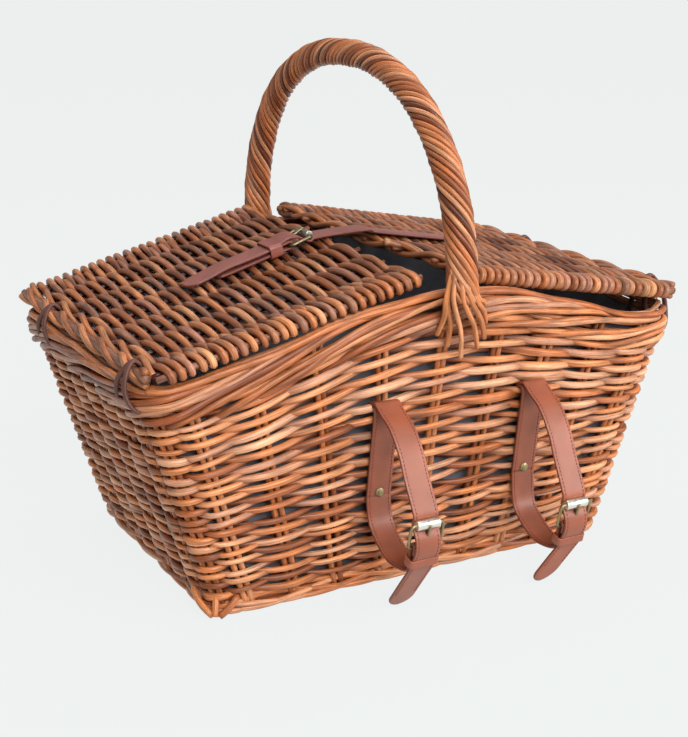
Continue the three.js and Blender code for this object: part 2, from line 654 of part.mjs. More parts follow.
// A strap set: the two leather bands, the buckle's metal and the rivet, named after the strap.
// plane carries (u, v, across) into the basket's frame, seat carries the buckle's frame there.
function strapSet({ name, plane, seat, band, tongue, bandName, tongueName, parents }) {
  const put = (key, meshName, geometry, finish, matrix) => (
    addMesh(parents[key], meshName, geometry.applyMatrix4(matrix), finish)
  );
  const tip = tongue.at(-1);
  const before = tongue.at(-2);
  const out = V(tip[0] - before[0], tip[1] - before[1], 0).normalize();
  const tipFrame = new THREE.Matrix4().makeBasis(V(0, 0, 1), out, V(0, 0, 1).cross(out)).setPosition(...tip, 0);
  const slotted = cut(strip(band).applyMatrix4(plane), [eyeSlot().applyMatrix4(seat)]);
  const pierced = cut(strip(tongue).applyMatrix4(plane), [
    prongShaft(PRONG_RADIUS + 2 * GAP, 8).applyMatrix4(seat),
    tipCutter().applyMatrix4(tipFrame).applyMatrix4(plane),
  ]);
  const unmoved = new THREE.Matrix4();
  put('band', bandName, slotted, 'leather', unmoved);
  put('tongue', tongueName, pierced, 'leather', unmoved);
  put('band', `${name}_buckle_frame`, buckleFrame(), 'brass', seat);
  put('band', `${name}_buckle_roller`, roller(), 'nickel', seat);
  put('band', `${name}_buckle_prong`, prong(), 'brass', seat);
}

// Blanket straps: each band is riveted to the front wall and hangs out from it in a loop;
// band and tongue come out of one gap in the weave. Hanging points are given as the reach out
// from the wall, at that gap or at their own height, and a height: a share of the fall from
// gap to bar, or a rise from the bar.
const BLANKET = {
  slack: 0.6,
  lean: THREE.MathUtils.degToRad(104),
  barReach: 54,
  tongueHang: [[11, 0.06], [23, 0.14], [35, 0.3], [43, 0.48]],
  bandHang: [[8.5, -5], [25.5, -18], [41, -23]],
  tail: [[42, -31], [29, -45]],
  tip: [15, 3],
};
const frontFace = (x, z) => {
  const run = halfLengthAt(z) - CORNER_RADIUS;
  return outlinePoint('front', STRAIGHT_SHARE * x / run, z, 0).y - GAP;
};
for (const [side, { x, top, rivet: rivetHeight, bar }] of Object.entries(BLANKET_STRAPS)) {
  const name = `${side}_strap`;
  const fromWall = ([reach, z]) => [frontFace(x, top) - reach, z];
  const byBar = ([reach, rise]) => fromWall([reach, bar + rise]);
  const offWall = ([reach, rise]) => [frontFace(x, bar + rise) - reach, bar + rise];
  const byFall = ([reach, share]) => fromWall([reach, lerp(top, bar, share)]);
  const seat = new THREE.Matrix4().makeRotationX(BLANKET.lean).setPosition(x, ...fromWall([BLANKET.barReach, bar]));
  const atBuckle = ([along, out]) => V(0, along, out).applyMatrix4(seat).toArray().slice(1);
  const onWall = (z) => [frontFace(x, z) - BLANKET.slack - LEATHER / 2, z];
  const bandTop = top - 2 * LEATHER;
  const plane = new THREE.Matrix4().makeBasis(V(0, 1, 0), V(0, 0, 1), V(1, 0, 0)).setPosition(x, 0, 0);
  strapSet({
    name,
    plane,
    seat,
    bandName: `${name}_back_band`,
    tongueName: `${name}_tongue`,
    parents: { band: basket, tongue: basket },
    band: [
      ...[bandTop, (bandTop + rivetHeight) / 2, rivetHeight, rivetHeight - RIVET_RADIUS].map(onWall),
      ...BLANKET.bandHang.map(offWall),
      atBuckle([-KEEPER_REACH - KEEPER_WIDTH, -foldMiddle]),
      atBuckle([-KEEPER_REACH, -foldMiddle]),
      ...chapeFold.map(atBuckle),
    ],
    tongue: [
      onWall(top), ...BLANKET.tongueHang.map(byFall), ...tonguePast.map(atBuckle),
      ...[1, 2].map((reach) => atBuckle([-reach * KEEPER_REACH, keeperTongue])),
      ...BLANKET.tail.map(byBar), fromWall(BLANKET.tip),
    ],
  });
  addMesh(basket, `${name}_keeper`, keeper().applyMatrix4(seat), 'leather');
  const stud = addMesh(basket, `${name}_rivet`, rivet(), 'brass');
  stud.position.set(x, frontFace(x, rivetHeight) - BLANKET.slack - LEATHER - GAP, rivetHeight);
  stud.rotation.x = Math.PI / 2 + Math.atan2(frontFace(x, 0) - frontFace(x, rivetHeight), rivetHeight);
}

// Closing strap: the tongue is riveted to the right lid and buckles to a tab on the left lid.
const CLOSING = {
  barX: -54,
  tilt: THREE.MathUtils.degToRad(6),
  tabReach: 62,
  rivetReach: 52,
  tailReach: 86,
  anchorX: 95,
  anchorMargin: 14,
  lift: 1,
};
const lidTop = LID_THICKNESS / 2 + GAP;
const tabOnLid = lidTop + LEATHER / 2;
const tabInKeeper = lidTop + KEEPER_WALL + GAP + LEATHER / 2;
const tongueInKeeper = tabInKeeper + LEATHER + 2 * GAP;
const closingBar = {
  along: (hingeX + CLOSING.barX) / Math.cos(LIDS.left.tilt),
  out: tabInKeeper + foldMiddle,
};
const onLid = (lid, along, out) => [
  lid.sign * (hingeX - along * Math.cos(lid.tilt) + out * Math.sin(lid.tilt)),
  lid.axisZ + along * Math.sin(lid.tilt) + out * Math.cos(lid.tilt),
];
const onLeftLid = (back, out) => onLid(LIDS.left, closingBar.along - back, out);
const closingLean = LIDS.left.tilt + CLOSING.tilt;
const closingSeat = new THREE.Matrix4().makeBasis(
  V(0, -1, 0),
  V(Math.cos(closingLean), 0, Math.sin(closingLean)),
  V(-Math.sin(closingLean), 0, Math.cos(closingLean)),
);
const [closingBarX, closingBarZ] = onLeftLid(0, closingBar.out);
closingSeat.setPosition(closingBarX, LID_STRAP_Y, closingBarZ);
const atClosingBuckle = ([along, out]) => {
  const point = V(0, along, out).applyMatrix4(closingSeat);
  return [point.x, point.z];
};
const rightAnchor = (hingeX - CLOSING.anchorX) / Math.cos(LIDS.right.tilt);
const rightEdge = LIDS.right.reach + 2 * EDGE_STICK_RADIUS;
strapSet({
  name: 'closing_strap',
  plane: new THREE.Matrix4().makeBasis(V(1, 0, 0), V(0, 0, 1), V(0, -1, 0)).setPosition(0, LID_STRAP_Y, 0),
  seat: closingSeat,
  bandName: 'closing_strap_tab',
  tongueName: 'closing_strap',
  parents: { band: basket, tongue: basket },
  band: [
    onLeftLid(CLOSING.tabReach, tabOnLid),
    onLeftLid(CLOSING.rivetReach, tabOnLid),
    onLeftLid((CLOSING.rivetReach + KEEPER_REACH) / 2, (tabOnLid + tabInKeeper) / 2),
    onLeftLid(KEEPER_REACH, tabInKeeper),
    ...chapeFold.map(atClosingBuckle),
  ],
  tongue: [
    onLid(LIDS.right, rightAnchor - CLOSING.anchorMargin, tabOnLid),
    onLid(LIDS.right, (rightAnchor + rightEdge) / 2, tabOnLid),
    onLid(LIDS.right, rightEdge - STRAP_WIDTH / 2, tabOnLid),
    onLid(LIDS.right, rightEdge, tabOnLid + CLOSING.lift),
    ...tonguePast.map(atClosingBuckle),
    onLeftLid(KEEPER_REACH, tongueInKeeper),
    onLeftLid((KEEPER_REACH + CLOSING.rivetReach) / 2, tongueInKeeper + GAP),
    onLeftLid(CLOSING.rivetReach, tongueInKeeper + 2 * GAP),
    onLeftLid((CLOSING.rivetReach + CLOSING.tailReach) / 2, (tongueInKeeper + tabOnLid) / 2),
    onLeftLid(CLOSING.tailReach, tabOnLid + 2 * GAP),
  ],
});

const lidSeat = (lid, along, out) => {
  const [x, z] = onLid(lid, along, out);
  const lean = -lid.sign * lid.tilt;
  return new THREE.Matrix4().makeBasis(
    V(0, -1, 0), V(Math.cos(lean), 0, Math.sin(lean)), V(-Math.sin(lean), 0, Math.cos(lean)),
  ).setPosition(x, LID_STRAP_Y, z);
};
const keeperMiddle = lidSeat(LIDS.left, closingBar.along, lidTop + KEEPER_WALL - keeperLow);
addMesh(basket, 'closing_strap_keeper', keeper().applyMatrix4(keeperMiddle), 'leather');
const tabRivet = lidSeat(LIDS.left, closingBar.along - CLOSING.rivetReach, tabOnLid + LEATHER / 2 + GAP);
addMesh(basket, 'closing_strap_tab_rivet', rivet().applyMatrix4(tabRivet), 'brass');
const anchorRivet = lidSeat(LIDS.right, rightAnchor, tabOnLid + LEATHER / 2 + GAP);
addMesh(basket, 'closing_strap_anchor_rivet', rivet().applyMatrix4(anchorRivet), 'brass');

export default basket;
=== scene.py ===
import math

import bpy
import numpy as np
from mathutils import Matrix, Vector


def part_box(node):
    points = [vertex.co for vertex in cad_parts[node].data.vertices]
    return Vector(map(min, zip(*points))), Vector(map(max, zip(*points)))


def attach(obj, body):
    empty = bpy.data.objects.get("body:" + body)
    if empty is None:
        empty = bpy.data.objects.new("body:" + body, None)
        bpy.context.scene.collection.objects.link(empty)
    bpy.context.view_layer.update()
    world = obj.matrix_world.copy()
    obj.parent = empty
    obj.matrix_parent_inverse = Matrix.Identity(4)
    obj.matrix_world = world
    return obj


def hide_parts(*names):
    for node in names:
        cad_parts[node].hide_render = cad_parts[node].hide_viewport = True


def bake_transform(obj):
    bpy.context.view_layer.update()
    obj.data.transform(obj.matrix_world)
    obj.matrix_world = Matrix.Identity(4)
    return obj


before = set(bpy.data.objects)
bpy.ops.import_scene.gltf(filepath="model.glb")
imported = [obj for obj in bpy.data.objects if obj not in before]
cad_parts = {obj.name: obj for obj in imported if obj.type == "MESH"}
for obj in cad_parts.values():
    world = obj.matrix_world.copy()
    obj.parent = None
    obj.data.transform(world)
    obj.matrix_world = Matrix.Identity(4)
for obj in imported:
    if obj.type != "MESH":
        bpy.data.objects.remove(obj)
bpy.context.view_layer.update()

# Camera
# The photograph is taken from the front left, a little above the rim, close enough for strong perspective.
# The eye, the turn of the frame and the focal length are the fitted values for the photograph's frame.
IMAGE_HEIGHT = 737
FOCAL_PIXELS = 1455.6
SENSOR_MM = 36.0
EYE = (-0.5356, -0.9757, 0.4668)
AZIMUTH, ELEVATION, ROLL = (math.radians(a) for a in (-28.636, 16.865, 0.073))

camera_data = bpy.data.cameras.new("photo_camera")
camera_data.sensor_width = SENSOR_MM
camera_data.lens = FOCAL_PIXELS * SENSOR_MM / IMAGE_HEIGHT
camera = bpy.data.objects.new("photo_camera", camera_data)
level_right = np.array((math.cos(AZIMUTH), math.sin(AZIMUTH), 0.0))
level_back = np.array((math.sin(AZIMUTH), -math.cos(AZIMUTH), 0.0))
back = math.cos(ELEVATION) * level_back + np.array((0.0, 0.0, math.sin(ELEVATION)))
level_up = np.cross(back, level_right)
right = math.cos(ROLL) * level_right + math.sin(ROLL) * level_up
up = math.cos(ROLL) * level_up - math.sin(ROLL) * level_right
camera.matrix_world = Matrix([[right[i], up[i], back[i], EYE[i]] for i in range(3)] + [[0, 0, 0, 1]])
bpy.context.scene.collection.objects.link(camera)
bpy.context.scene.camera = camera


# Floor and studio light
# A pale seamless paper sweep, an even pale surround and three large soft lamps: a broad one high in front,
# a weaker fill from the right and a light overhead.
def linear(hex_code):
    """sRGB hex to a linear RGBA colour: each channel is undone by the sRGB curve."""
    channels = [int(hex_code[i:i + 2], 16) / 255 for i in (0, 2, 4)]
    return tuple(c / 12.92 if c <= 0.04045 else ((c + 0.055) / 1.055) ** 2.4 for c in channels) + (1.0,)


def add_node(tree, kind, inputs=None, **settings):
    """One shader node: settings are its properties, and inputs are values or links for its sockets."""
    node = tree.nodes.new(kind)
    for name, value in settings.items():
        setattr(node, name, value)
    for name, value in (inputs or {}).items():
        if isinstance(value, bpy.types.NodeSocket):
            tree.links.new(value, node.inputs[name])
        else:
            node.inputs[name].default_value = value
    return node


def new_material(name):
    """An empty material: returns it, its node tree and its output node."""
    material = bpy.data.materials.new(name)
    material.use_nodes = True
    material.node_tree.nodes.clear()
    return material, material.node_tree, add_node(material.node_tree, "ShaderNodeOutputMaterial")


FLOOR_HALF = 40.0
FLOOR_DROP = 0.0004
floor_mesh = bpy.data.meshes.new("floor")
floor_signs = ((-1, -1), (1, -1), (1, 1), (-1, 1))
floor_corners = [(x * FLOOR_HALF, y * FLOOR_HALF, -FLOOR_DROP) for x, y in floor_signs]
floor_mesh.from_pydata(floor_corners, [], [(0, 1, 2, 3)])
floor = bpy.data.objects.new("floor", floor_mesh)
bpy.context.scene.collection.objects.link(floor)
# Lit paper: most of its light is its own, so that it stays even, and the rest takes a faint shadow.
paper, tree, out = new_material("lit_studio_sweep")
bsdf = add_node(
    tree, "ShaderNodeBsdfPrincipled",
    {
        "Base Color": linear("2a2c2c"), "Roughness": 1.0, "Specular IOR Level": 0.0,
        "Emission Color": linear("eef1f0"), "Emission Strength": 0.968,
    },
)
tree.links.new(bsdf.outputs["BSDF"], out.inputs["Surface"])
floor_mesh.materials.append(paper)

world = bpy.data.worlds.new("pale_surround")
world.use_nodes = True
background = world.node_tree.nodes["Background"]
background.inputs["Color"].default_value = linear("f3f6f6")
background.inputs["Strength"].default_value = 0.42
bpy.context.scene.world = world
bpy.context.scene.view_settings.view_transform = "Standard"

# Each lamp's place and width in metres and its power in watts. All of them face the middle of the basket.
LAMPS = {
    "key_softbox": ((-0.25, -2.0, 1.6), 1.4, 68.0),
    "right_fill": ((1.6, -1.7, 1.0), 1.4, 40.0),
    "top_softbox": ((0.2, 0.6, 2.3), 1.6, 26.0),
}
LAMP_TARGET = Vector((0, 0, 0.15))
for lamp_name, (place, width, power) in LAMPS.items():
    lamp_data = bpy.data.lights.new(lamp_name, "AREA")
    lamp_data.size = width
    lamp_data.energy = power
    lamp = bpy.data.objects.new(lamp_name, lamp_data)
    turn = (LAMP_TARGET - Vector(place)).to_track_quat("-Z", "Y")
    lamp.matrix_world = Matrix.Translation(place) @ turn.to_matrix().to_4x4()
    bpy.context.scene.collection.objects.link(lamp)


# Woven walls
# Stakes of peeled willow stand in pairs round the base and lean out to the rim. Thinner rods are woven round
# them, over one and under one, with their ends tucked behind stakes. The upper rows rise with the rim.
MM = 0.001
BASE_HALF = np.array((172, 120.5)) * MM
RIM_HALF = np.array((227, 131.5)) * MM
RIM_END = 180 * MM
RIM_HUMP = 46 * MM
RIM_BOW = 20 * MM
BOW_GROWTH = 1.5
CORNER = 25 * MM
# The share of half a side that is straight, before the corner's arc begins.
STRAIGHT_SHARE = 0.9
rng = np.random.default_rng(7)


def rim_top(x):
    """Height of the rim: the end height plus a hump that falls as a squared cosine towards the ends."""
    reach = np.minimum(np.abs(x) / (2 * RIM_HALF[0]), 0.5)
    return RIM_END + RIM_HUMP * np.cos(np.pi * reach) ** 2


def wall_point(turn, z, inset):
    """Points of the body's outline. turn runs 0 to 8 round it, two for each side from the front left corner;
    z is the height and inset the depth behind the outer face. The half length and half width grow evenly
    with the height, corners are arcs, and the long sides bow out as a parabola, more towards the rim."""
    turn, z, inset = np.broadcast_arrays(np.mod(turn, 8.0), z, inset)
    side = np.floor(turn / 2).astype(int)
    along = turn - 2 * side - 1
    length = BASE_HALF[0] + (RIM_HALF[0] - BASE_HALF[0]) * z / RIM_END
    width = BASE_HALF[1] + (RIM_HALF[1] - BASE_HALF[1]) * z / RIM_END
    half_run = np.where(side % 2, width, length) - inset
    half_depth = np.where(side % 2, length, width) - inset
    radius = CORNER - inset
    straight = np.minimum(np.abs(along) / STRAIGHT_SHARE, 1)
    bend = np.maximum(np.abs(along) - STRAIGHT_SHARE, 0) / (1 - STRAIGHT_SHARE) * np.pi / 4
    run = np.sign(along) * (straight * (half_run - radius) + radius * np.sin(bend))
    depth = -(half_depth - radius + radius * np.cos(bend))
    cosine, sine = np.cos(side * np.pi / 2), np.sin(side * np.pi / 2)
    x, y = run * cosine - depth * sine, run * sine + depth * cosine
    bow = RIM_BOW * (np.maximum(z, 0) / (RIM_END + RIM_HUMP)) ** BOW_GROWTH
    y = y * (1 + bow * np.maximum(1 - (x / length) ** 2, 0) / width)
    return np.stack((x, y, z), axis=-1)


def unit(v):
    """Vectors divided by their length."""
    return v / np.maximum(np.linalg.norm(v, axis=-1, keepdims=True), 1e-12)


def run_length(paths):
    """Length along paths (..., steps, 3) from their start to each step: the sum of the steps so far."""
    step = np.linalg.norm(np.diff(paths, axis=-2), axis=-1)
    return np.concatenate((np.zeros(step.shape[:-1] + (1,)), np.cumsum(step, axis=-1)), axis=-1)


def ring_faces(place):
    """Quads between neighbouring closed rings, from the numbers of their points (..., rings, points)."""
    here, following = place[..., :-1, :], place[..., 1:, :]
    corners = (here, np.roll(here, -1, -1), np.roll(following, -1, -1), following)
    return np.stack(corners, axis=-1).reshape(-1, 4)


def cap_faces(points):
    """Quads that close a ring of an even number of points: strips across it from one side to the other."""
    k = np.arange(points // 2 - 1)
    return np.stack((k, k + 1, points - 2 - k, points - 1 - k), axis=-1)


# How far apart two rods of unlike tint lie in the finish, in metres, so that no two have the same streaks.
FINISH_SHIFT = 40


def rods(paths, radii, square_to, tint, stain_and_shade=0.0, sides=8):
    """Round rods along paths (rods, steps, 3). At each step a ring of points stands square to the path, at
    the radius, counted from the direction square_to. Gives points, faces and the values that the finish
    reads: the rod's tint, how much the place is darkened by stain and by painted shade, and grain, the
    place in the rod as if it were straight."""
    count, steps = paths.shape[:2]
    radii = np.broadcast_to(radii, (count, steps))
    tint = np.asarray(tint).reshape(count, 1, 1)
    tangent = unit(np.gradient(paths, axis=1))
    first = unit(np.cross(tangent, np.broadcast_to(square_to, paths.shape)))
    second = np.cross(first, tangent)
    angle = np.arange(sides) * 2 * np.pi / sides
    ring = np.cos(angle)[:, None] * second[:, :, None] + np.sin(angle)[:, None] * first[:, :, None]
    points = paths[:, :, None] + radii[:, :, None, None] * ring
    place = np.arange(count * steps * sides).reshape(count, steps, sides)
    cap = cap_faces(sides)
    caps = [place[:, 0][:, cap[:, ::-1]].reshape(-1, 4), place[:, -1][:, cap].reshape(-1, 4)]
    grain = np.empty((count, steps, sides, 3))
    grain[..., 0] = run_length(paths)[:, :, None] + tint * FINISH_SHIFT
    grain[..., 1] = radii[:, :, None] * np.cos(angle)
    grain[..., 2] = radii[:, :, None] * np.sin(angle)
    return {
        "points": points.reshape(-1, 3),
        "faces": np.concatenate([ring_faces(place)] + caps),
        "tint": np.broadcast_to(tint, place.shape).reshape(-1),
        "stain_and_shade": np.broadcast_to(np.broadcast_to(stain_and_shade, (count, steps))[:, :, None], place.shape).reshape(-1),
        "grain": grain.reshape(-1, 3),
    }


def make_piece(name, groups, material, body, replaced=()):
    """One mesh object from groups of points and faces, with the values that all groups have as attributes.
    It rides on a body if one is named and replaces the named CAD nodes."""
    starts = np.cumsum([0] + [len(g["points"]) for g in groups[:-1]])
    points = np.concatenate([g["points"] for g in groups])
    faces = np.concatenate([g["faces"] + start for g, start in zip(groups, starts)])
    mesh = bpy.data.meshes.new(name)
    mesh.vertices.add(len(points))
    mesh.vertices.foreach_set("co", points.astype(np.float32).ravel())
    mesh.loops.add(faces.size)
    mesh.loops.foreach_set("vertex_index", faces.astype(np.int32).ravel())
    mesh.polygons.add(len(faces))
    mesh.polygons.foreach_set("loop_start", np.arange(len(faces), dtype=np.int32) * faces.shape[1])
    mesh.polygons.foreach_set("use_smooth", np.ones(len(faces), dtype=bool))
    for value in ("tint", "stain_and_shade", "grain"):
        if all(value in g for g in groups):
            column = np.concatenate([g[value] for g in groups]).astype(np.float32)
            kind, field = ("FLOAT", "value") if column.ndim == 1 else ("FLOAT_VECTOR", "vector")
            mesh.attributes.new(value, kind, "POINT").data.foreach_set(field, column.ravel())
    mesh.update(calc_edges=True)
    mesh.materials.append(material)
    piece = bpy.data.objects.new(name, mesh)
    bpy.context.scene.collection.objects.link(piece)
    if body:
        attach(piece, body)
    if replaced:
        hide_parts(*replaced)
    return piece


# Streaks are about 22 mm long and 0.7 mm wide; patches of stain are about 25 mm long and 7 mm wide.
STREAKS_PER_METRE = (45, 1400, 1400)
PATCHES_PER_METRE = (38, 150, 150)
# A noise runs mostly between these values, and its patches change the gloss by this much either way.
NOISE_LOW, NOISE_HIGH = 0.3, 0.7
GLOSS_CHANGE = 0.1


def willow(name, shades, crevice, roughness):
    """Peeled and stained willow: satin bark-free rods whose stain differs from rod to rod, with fine streaks
    along the grain and mottled patches. The crevice colour is multiplied in as darker stain and as painted
    shade where a rod dives behind its neighbour."""
    material, tree, out = new_material(name)
    tint = add_node(tree, "ShaderNodeAttribute", attribute_name="tint").outputs["Fac"]
    stain_and_shade = add_node(tree, "ShaderNodeAttribute", attribute_name="stain_and_shade").outputs["Fac"]
    grain = add_node(tree, "ShaderNodeAttribute", attribute_name="grain").outputs["Vector"]
    ramp = add_node(tree, "ShaderNodeValToRGB", {"Fac": tint})
    stops = ramp.color_ramp.elements
    stops.remove(stops[1])
    for i, shade in enumerate(shades):
        stop = stops[0] if i == 0 else stops.new(i / (len(shades) - 1))
        stop.position = i / (len(shades) - 1)
        stop.color = linear(shade)
    streak_place = add_node(
        tree, "ShaderNodeVectorMath", {0: grain, 1: STREAKS_PER_METRE}, operation="MULTIPLY",
    )
    streak = add_node(
        tree, "ShaderNodeTexNoise", {"Vector": streak_place.outputs[0], "Scale": 1.0, "Detail": 4.0},
    )
    patch_place = add_node(
        tree, "ShaderNodeVectorMath", {0: grain, 1: PATCHES_PER_METRE}, operation="MULTIPLY",
    )
    patch = add_node(
        tree, "ShaderNodeTexNoise",
        {"Vector": patch_place.outputs[0], "Scale": 1.0, "Detail": 5.0, "Roughness": 0.62},
    )
    streak_level = add_node(
        tree, "ShaderNodeMapRange",
        {"Value": streak.outputs["Fac"], "From Min": 0.32, "From Max": 0.68, "To Min": 0.54, "To Max": 1.3},
    )
    patch_level = add_node(
        tree, "ShaderNodeMapRange",
        {
            "Value": patch.outputs["Fac"], "From Min": NOISE_LOW, "From Max": NOISE_HIGH,
            "To Min": 0.6, "To Max": 1.28,
        },
    )
    level = add_node(
        tree, "ShaderNodeMath", {0: streak_level.outputs[0], 1: patch_level.outputs[0]},
        operation="MULTIPLY",
    )
    toned = add_node(
        tree, "ShaderNodeMix", {"Factor": 1.0, "A": ramp.outputs["Color"], "B": level.outputs[0]},
        data_type="RGBA", blend_type="MULTIPLY",
    )
    # The crevice colour is multiplied in by stain_and_shade: darker stain, and painted shade where a rod
    # lies hidden.
    stained_and_shaded = add_node(
        tree, "ShaderNodeMix", {"Factor": stain_and_shade, "A": toned.outputs[2], "B": linear(crevice)},
        data_type="RGBA", blend_type="MULTIPLY",
    )
    bump = add_node(
        tree, "ShaderNodeBump", {"Height": streak.outputs["Fac"], "Strength": 0.25, "Distance": 0.6 * MM},
    )
    gloss = add_node(
        tree, "ShaderNodeMapRange",
        {
            "Value": patch.outputs["Fac"], "From Min": NOISE_LOW, "From Max": NOISE_HIGH,
            "To Min": roughness + GLOSS_CHANGE, "To Max": roughness - GLOSS_CHANGE,
        },
    )
    bsdf = add_node(
        tree, "ShaderNodeBsdfPrincipled",
        {
            "Base Color": stained_and_shaded.outputs[2], "Roughness": gloss.outputs[0], "IOR": 1.5,
            "Specular IOR Level": 0.36, "Normal": bump.outputs["Normal"],
        },
    )
    tree.links.new(bsdf.outputs["BSDF"], out.inputs["Surface"])
    return material


body_willow = willow(
    "tan_stained_willow",
    ("8a4c2a", "b3673a", "c87a47", "cc8352", "d8976a", "bf8565", "e0a880"), "70341a", 0.38,
)

FRONT_STAKES, END_STAKES = 9, 7
LOOP_STAKES = 2 * (FRONT_STAKES + END_STAKES) + 4
# The share of a side that its stakes stand along; one more stands at each corner.
STAKE_REACH = 0.86


def stake_turns():
    """The turn of each stake, from the front left corner's stake round to it again."""
    knots = []
    for side, stakes in enumerate((FRONT_STAKES, END_STAKES) * 2):
        knots += [2.0 * side] + list(2 * side + 1 + STAKE_REACH * np.linspace(-1, 1, stakes))
    return np.array(knots + [8.0])


STAKE_TURNS = stake_turns()
WALL_MIDDLE = 6.2 * MM
WAVE = 3.9 * MM
# A power under one makes a weaver hug its stakes and cross more steeply between them.
WAVE_FULLNESS = 0.8
WEAVER_RADIUS = 2.3 * MM
WALL_FOOT = 14 * MM
WALL_HEAD_DROP = 13 * MM
ROWS = 40
ROW_PITCH = (RIM_END - WALL_HEAD_DROP - WALL_FOOT) / ROWS
LEVEL_ROWS = 12
STEPS_PER_STAKE = 6
# In millimetres: how far a weaver leans between stakes towards the row that it crosses, and how far it
# wanders up and down in each of two waves, with this many radians to a stake.
CROSSING = 1.0
WANDER = 0.9
WANDER_TURNS = (1.7, 0.61)


def row_height(row, x):
    """Height of a row's middle: the lowest rows lie level, and each higher one follows more of the hump."""
    level = WALL_FOOT + (RIM_END - WALL_HEAD_DROP - WALL_FOOT) * (row + 0.5) / ROWS
    follow = np.clip((row - LEVEL_ROWS) / (ROWS - 1 - LEVEL_ROWS), 0, 1)
    return level + (rim_top(x) - RIM_END) * follow


def weaver_paths(first, count, row):
    """Weavers of one row from their first stakes, count stakes long: they swing out and in by a cosine of
    the stake number, with a little wander and slant in height. Also gives how hidden each place is."""
    q = first[:, None] + np.linspace(0, count, count * STEPS_PER_STAKE + 1)
    turn = np.interp(np.mod(q, LOOP_STAKES), np.arange(LOOP_STAKES + 1), STAKE_TURNS)
    swing = np.cos(np.pi * (q + row))
    swing = np.sign(swing) * np.abs(swing) ** WAVE_FULLNESS
    rough_x = wall_point(turn, row_height(row, 0.0), WALL_MIDDLE)[..., 0]
    shift = rng.uniform(0, 6.3, (len(first), 2))
    wander = sum(WANDER * np.sin(q * turns + shift[:, i:i + 1]) for i, turns in enumerate(WANDER_TURNS))
    wander = wander + CROSSING * np.sin(np.pi * (q + row))
    z = row_height(row, rough_x) + wander * MM
    return wall_point(turn, z, WALL_MIDDLE - WAVE * swing), 0.5 - 0.5 * swing


RODS_PER_ROW = 3
ROD_STAKES = 14
# A weaver's thickness at its butt and at its tip as shares of its own, the thinnest and thickest weavers as
# shares of the usual, and how much painted shade darkens one behind a stake.
BUTT_SHARE, TIP_SHARE = 1.1, 0.88
WEAVER_SIZES = (0.8, 1.14)
WEAVER_PAINTED_SHADE = 0.8
weavers = []
for row in range(ROWS):
    # A rod starts and ends behind a stake: there its stake number and its row add up to an odd number.
    spread = rng.uniform(0, LOOP_STAKES) / 2 + np.arange(RODS_PER_ROW) * LOOP_STAKES / (2 * RODS_PER_ROW)
    first = 2 * np.floor(spread) + (row + 1) % 2
    paths, hidden = weaver_paths(first, ROD_STAKES, row)
    # Where the rows part over the hump the rods are thicker, so that the weave stays as close.
    pitch = row_height(row + 0.5, paths[..., 0]) - row_height(row - 0.5, paths[..., 0])
    taper = np.linspace(BUTT_SHARE, TIP_SHARE, paths.shape[1])
    taper = taper * rng.uniform(*WEAVER_SIZES, (RODS_PER_ROW, 1))
    radii = WEAVER_RADIUS * taper * np.sqrt(pitch / ROW_PITCH)
    # A weaver is darkened with painted shade where it passes behind a stake.
    weavers.append(rods(paths, radii, (0, 0, 1), rng.uniform(0, 1, RODS_PER_ROW), WEAVER_PAINTED_SHADE * hidden))
make_piece(
    "woven_walls", weavers, body_willow, "basket",
    ("front_wall", "back_wall", "left_end_wall", "right_end_wall"),
)

# Stakes stand in pairs inside the weave, from the foot to under the rim's border. None is quite straight.
STAKE_RADIUS = 2.3 * MM
STAKE_PAIR = 5.4 * MM
STAKE_FOOT = 5 * MM
STAKE_HEAD_DROP = 10 * MM
STAKE_STEPS = 24
# In millimetres, how far a stake leans aside.
STAKE_LEAN = 1.4
STAKE_WEAR = 0.3
# The run of the wall at a stake is taken between places this little before and after it.
SMALL_TURN = 0.01
pair = np.repeat(np.arange(LOOP_STAKES), 2)
beside = np.tile((-0.5, 0.5), LOOP_STAKES) * STAKE_PAIR
level = np.linspace(0, 1, STAKE_STEPS)
stake_turn = STAKE_TURNS[pair][:, None] + 0 * level
head = rim_top(wall_point(stake_turn, RIM_END, WALL_MIDDLE)[..., 0]) - STAKE_HEAD_DROP
stake_z = STAKE_FOOT + (head - STAKE_FOOT) * level
before = wall_point(stake_turn - SMALL_TURN, stake_z, WALL_MIDDLE)
after = wall_point(stake_turn + SMALL_TURN, stake_z, WALL_MIDDLE)
run = unit(after - before)
lean = rng.uniform(-STAKE_LEAN, STAKE_LEAN, (len(pair), 1)) * MM
lean = lean * np.sin(level * np.pi * rng.uniform(1, 3, (len(pair), 1)))
stake_paths = wall_point(stake_turn, stake_z, WALL_MIDDLE) + run * (beside[:, None] + lean)[..., None]
stake_radii = STAKE_RADIUS * np.linspace(1.05, 0.9, STAKE_STEPS)
stakes = rods(stake_paths, stake_radii, run, rng.uniform(0, 0.7, len(pair)), STAKE_WEAR)
make_piece("wall_stakes", [stakes], body_willow, "basket")


# Rim border
# Each stake is bent over at the rim and swept along it, rising over the next ones, so that long smooth rods
# overlap like shingles. Three lines of rods run round the top edge and cover the ends.
def smooth_through(knots, values, t):
    """Cubic curve through numbers or points at knots, with slopes taken from the neighbouring ones."""
    knots, values = np.asarray(knots, float), np.asarray(values, float)
    slopes = np.gradient(values, knots, axis=0)
    i = np.clip(np.searchsorted(knots, t, side="right") - 1, 0, len(knots) - 2)
    gap = knots[i + 1] - knots[i]
    u = (t - knots[i]) / gap
    shape = u.shape + (1,) * (values.ndim - 1)
    u, gap = u.reshape(shape), gap.reshape(shape)
    a, b = values[i], values[i + 1]
    start, end = slopes[i] * gap, slopes[i + 1] * gap
    return a + u * start + u * u * (3 * (b - a) - 2 * start - end) + u ** 3 * (2 * (a - b) + start + end)


def ease(x):
    """Smooth step from 0 to 1."""
    x = np.clip(x, 0, 1)
    return x * x * (3 - 2 * x)


RIM_STRANDS = 46
RIM_SWEEP = 205 * MM
RIM_STEPS = 44
STRAND_RADIUS = 2.45 * MM
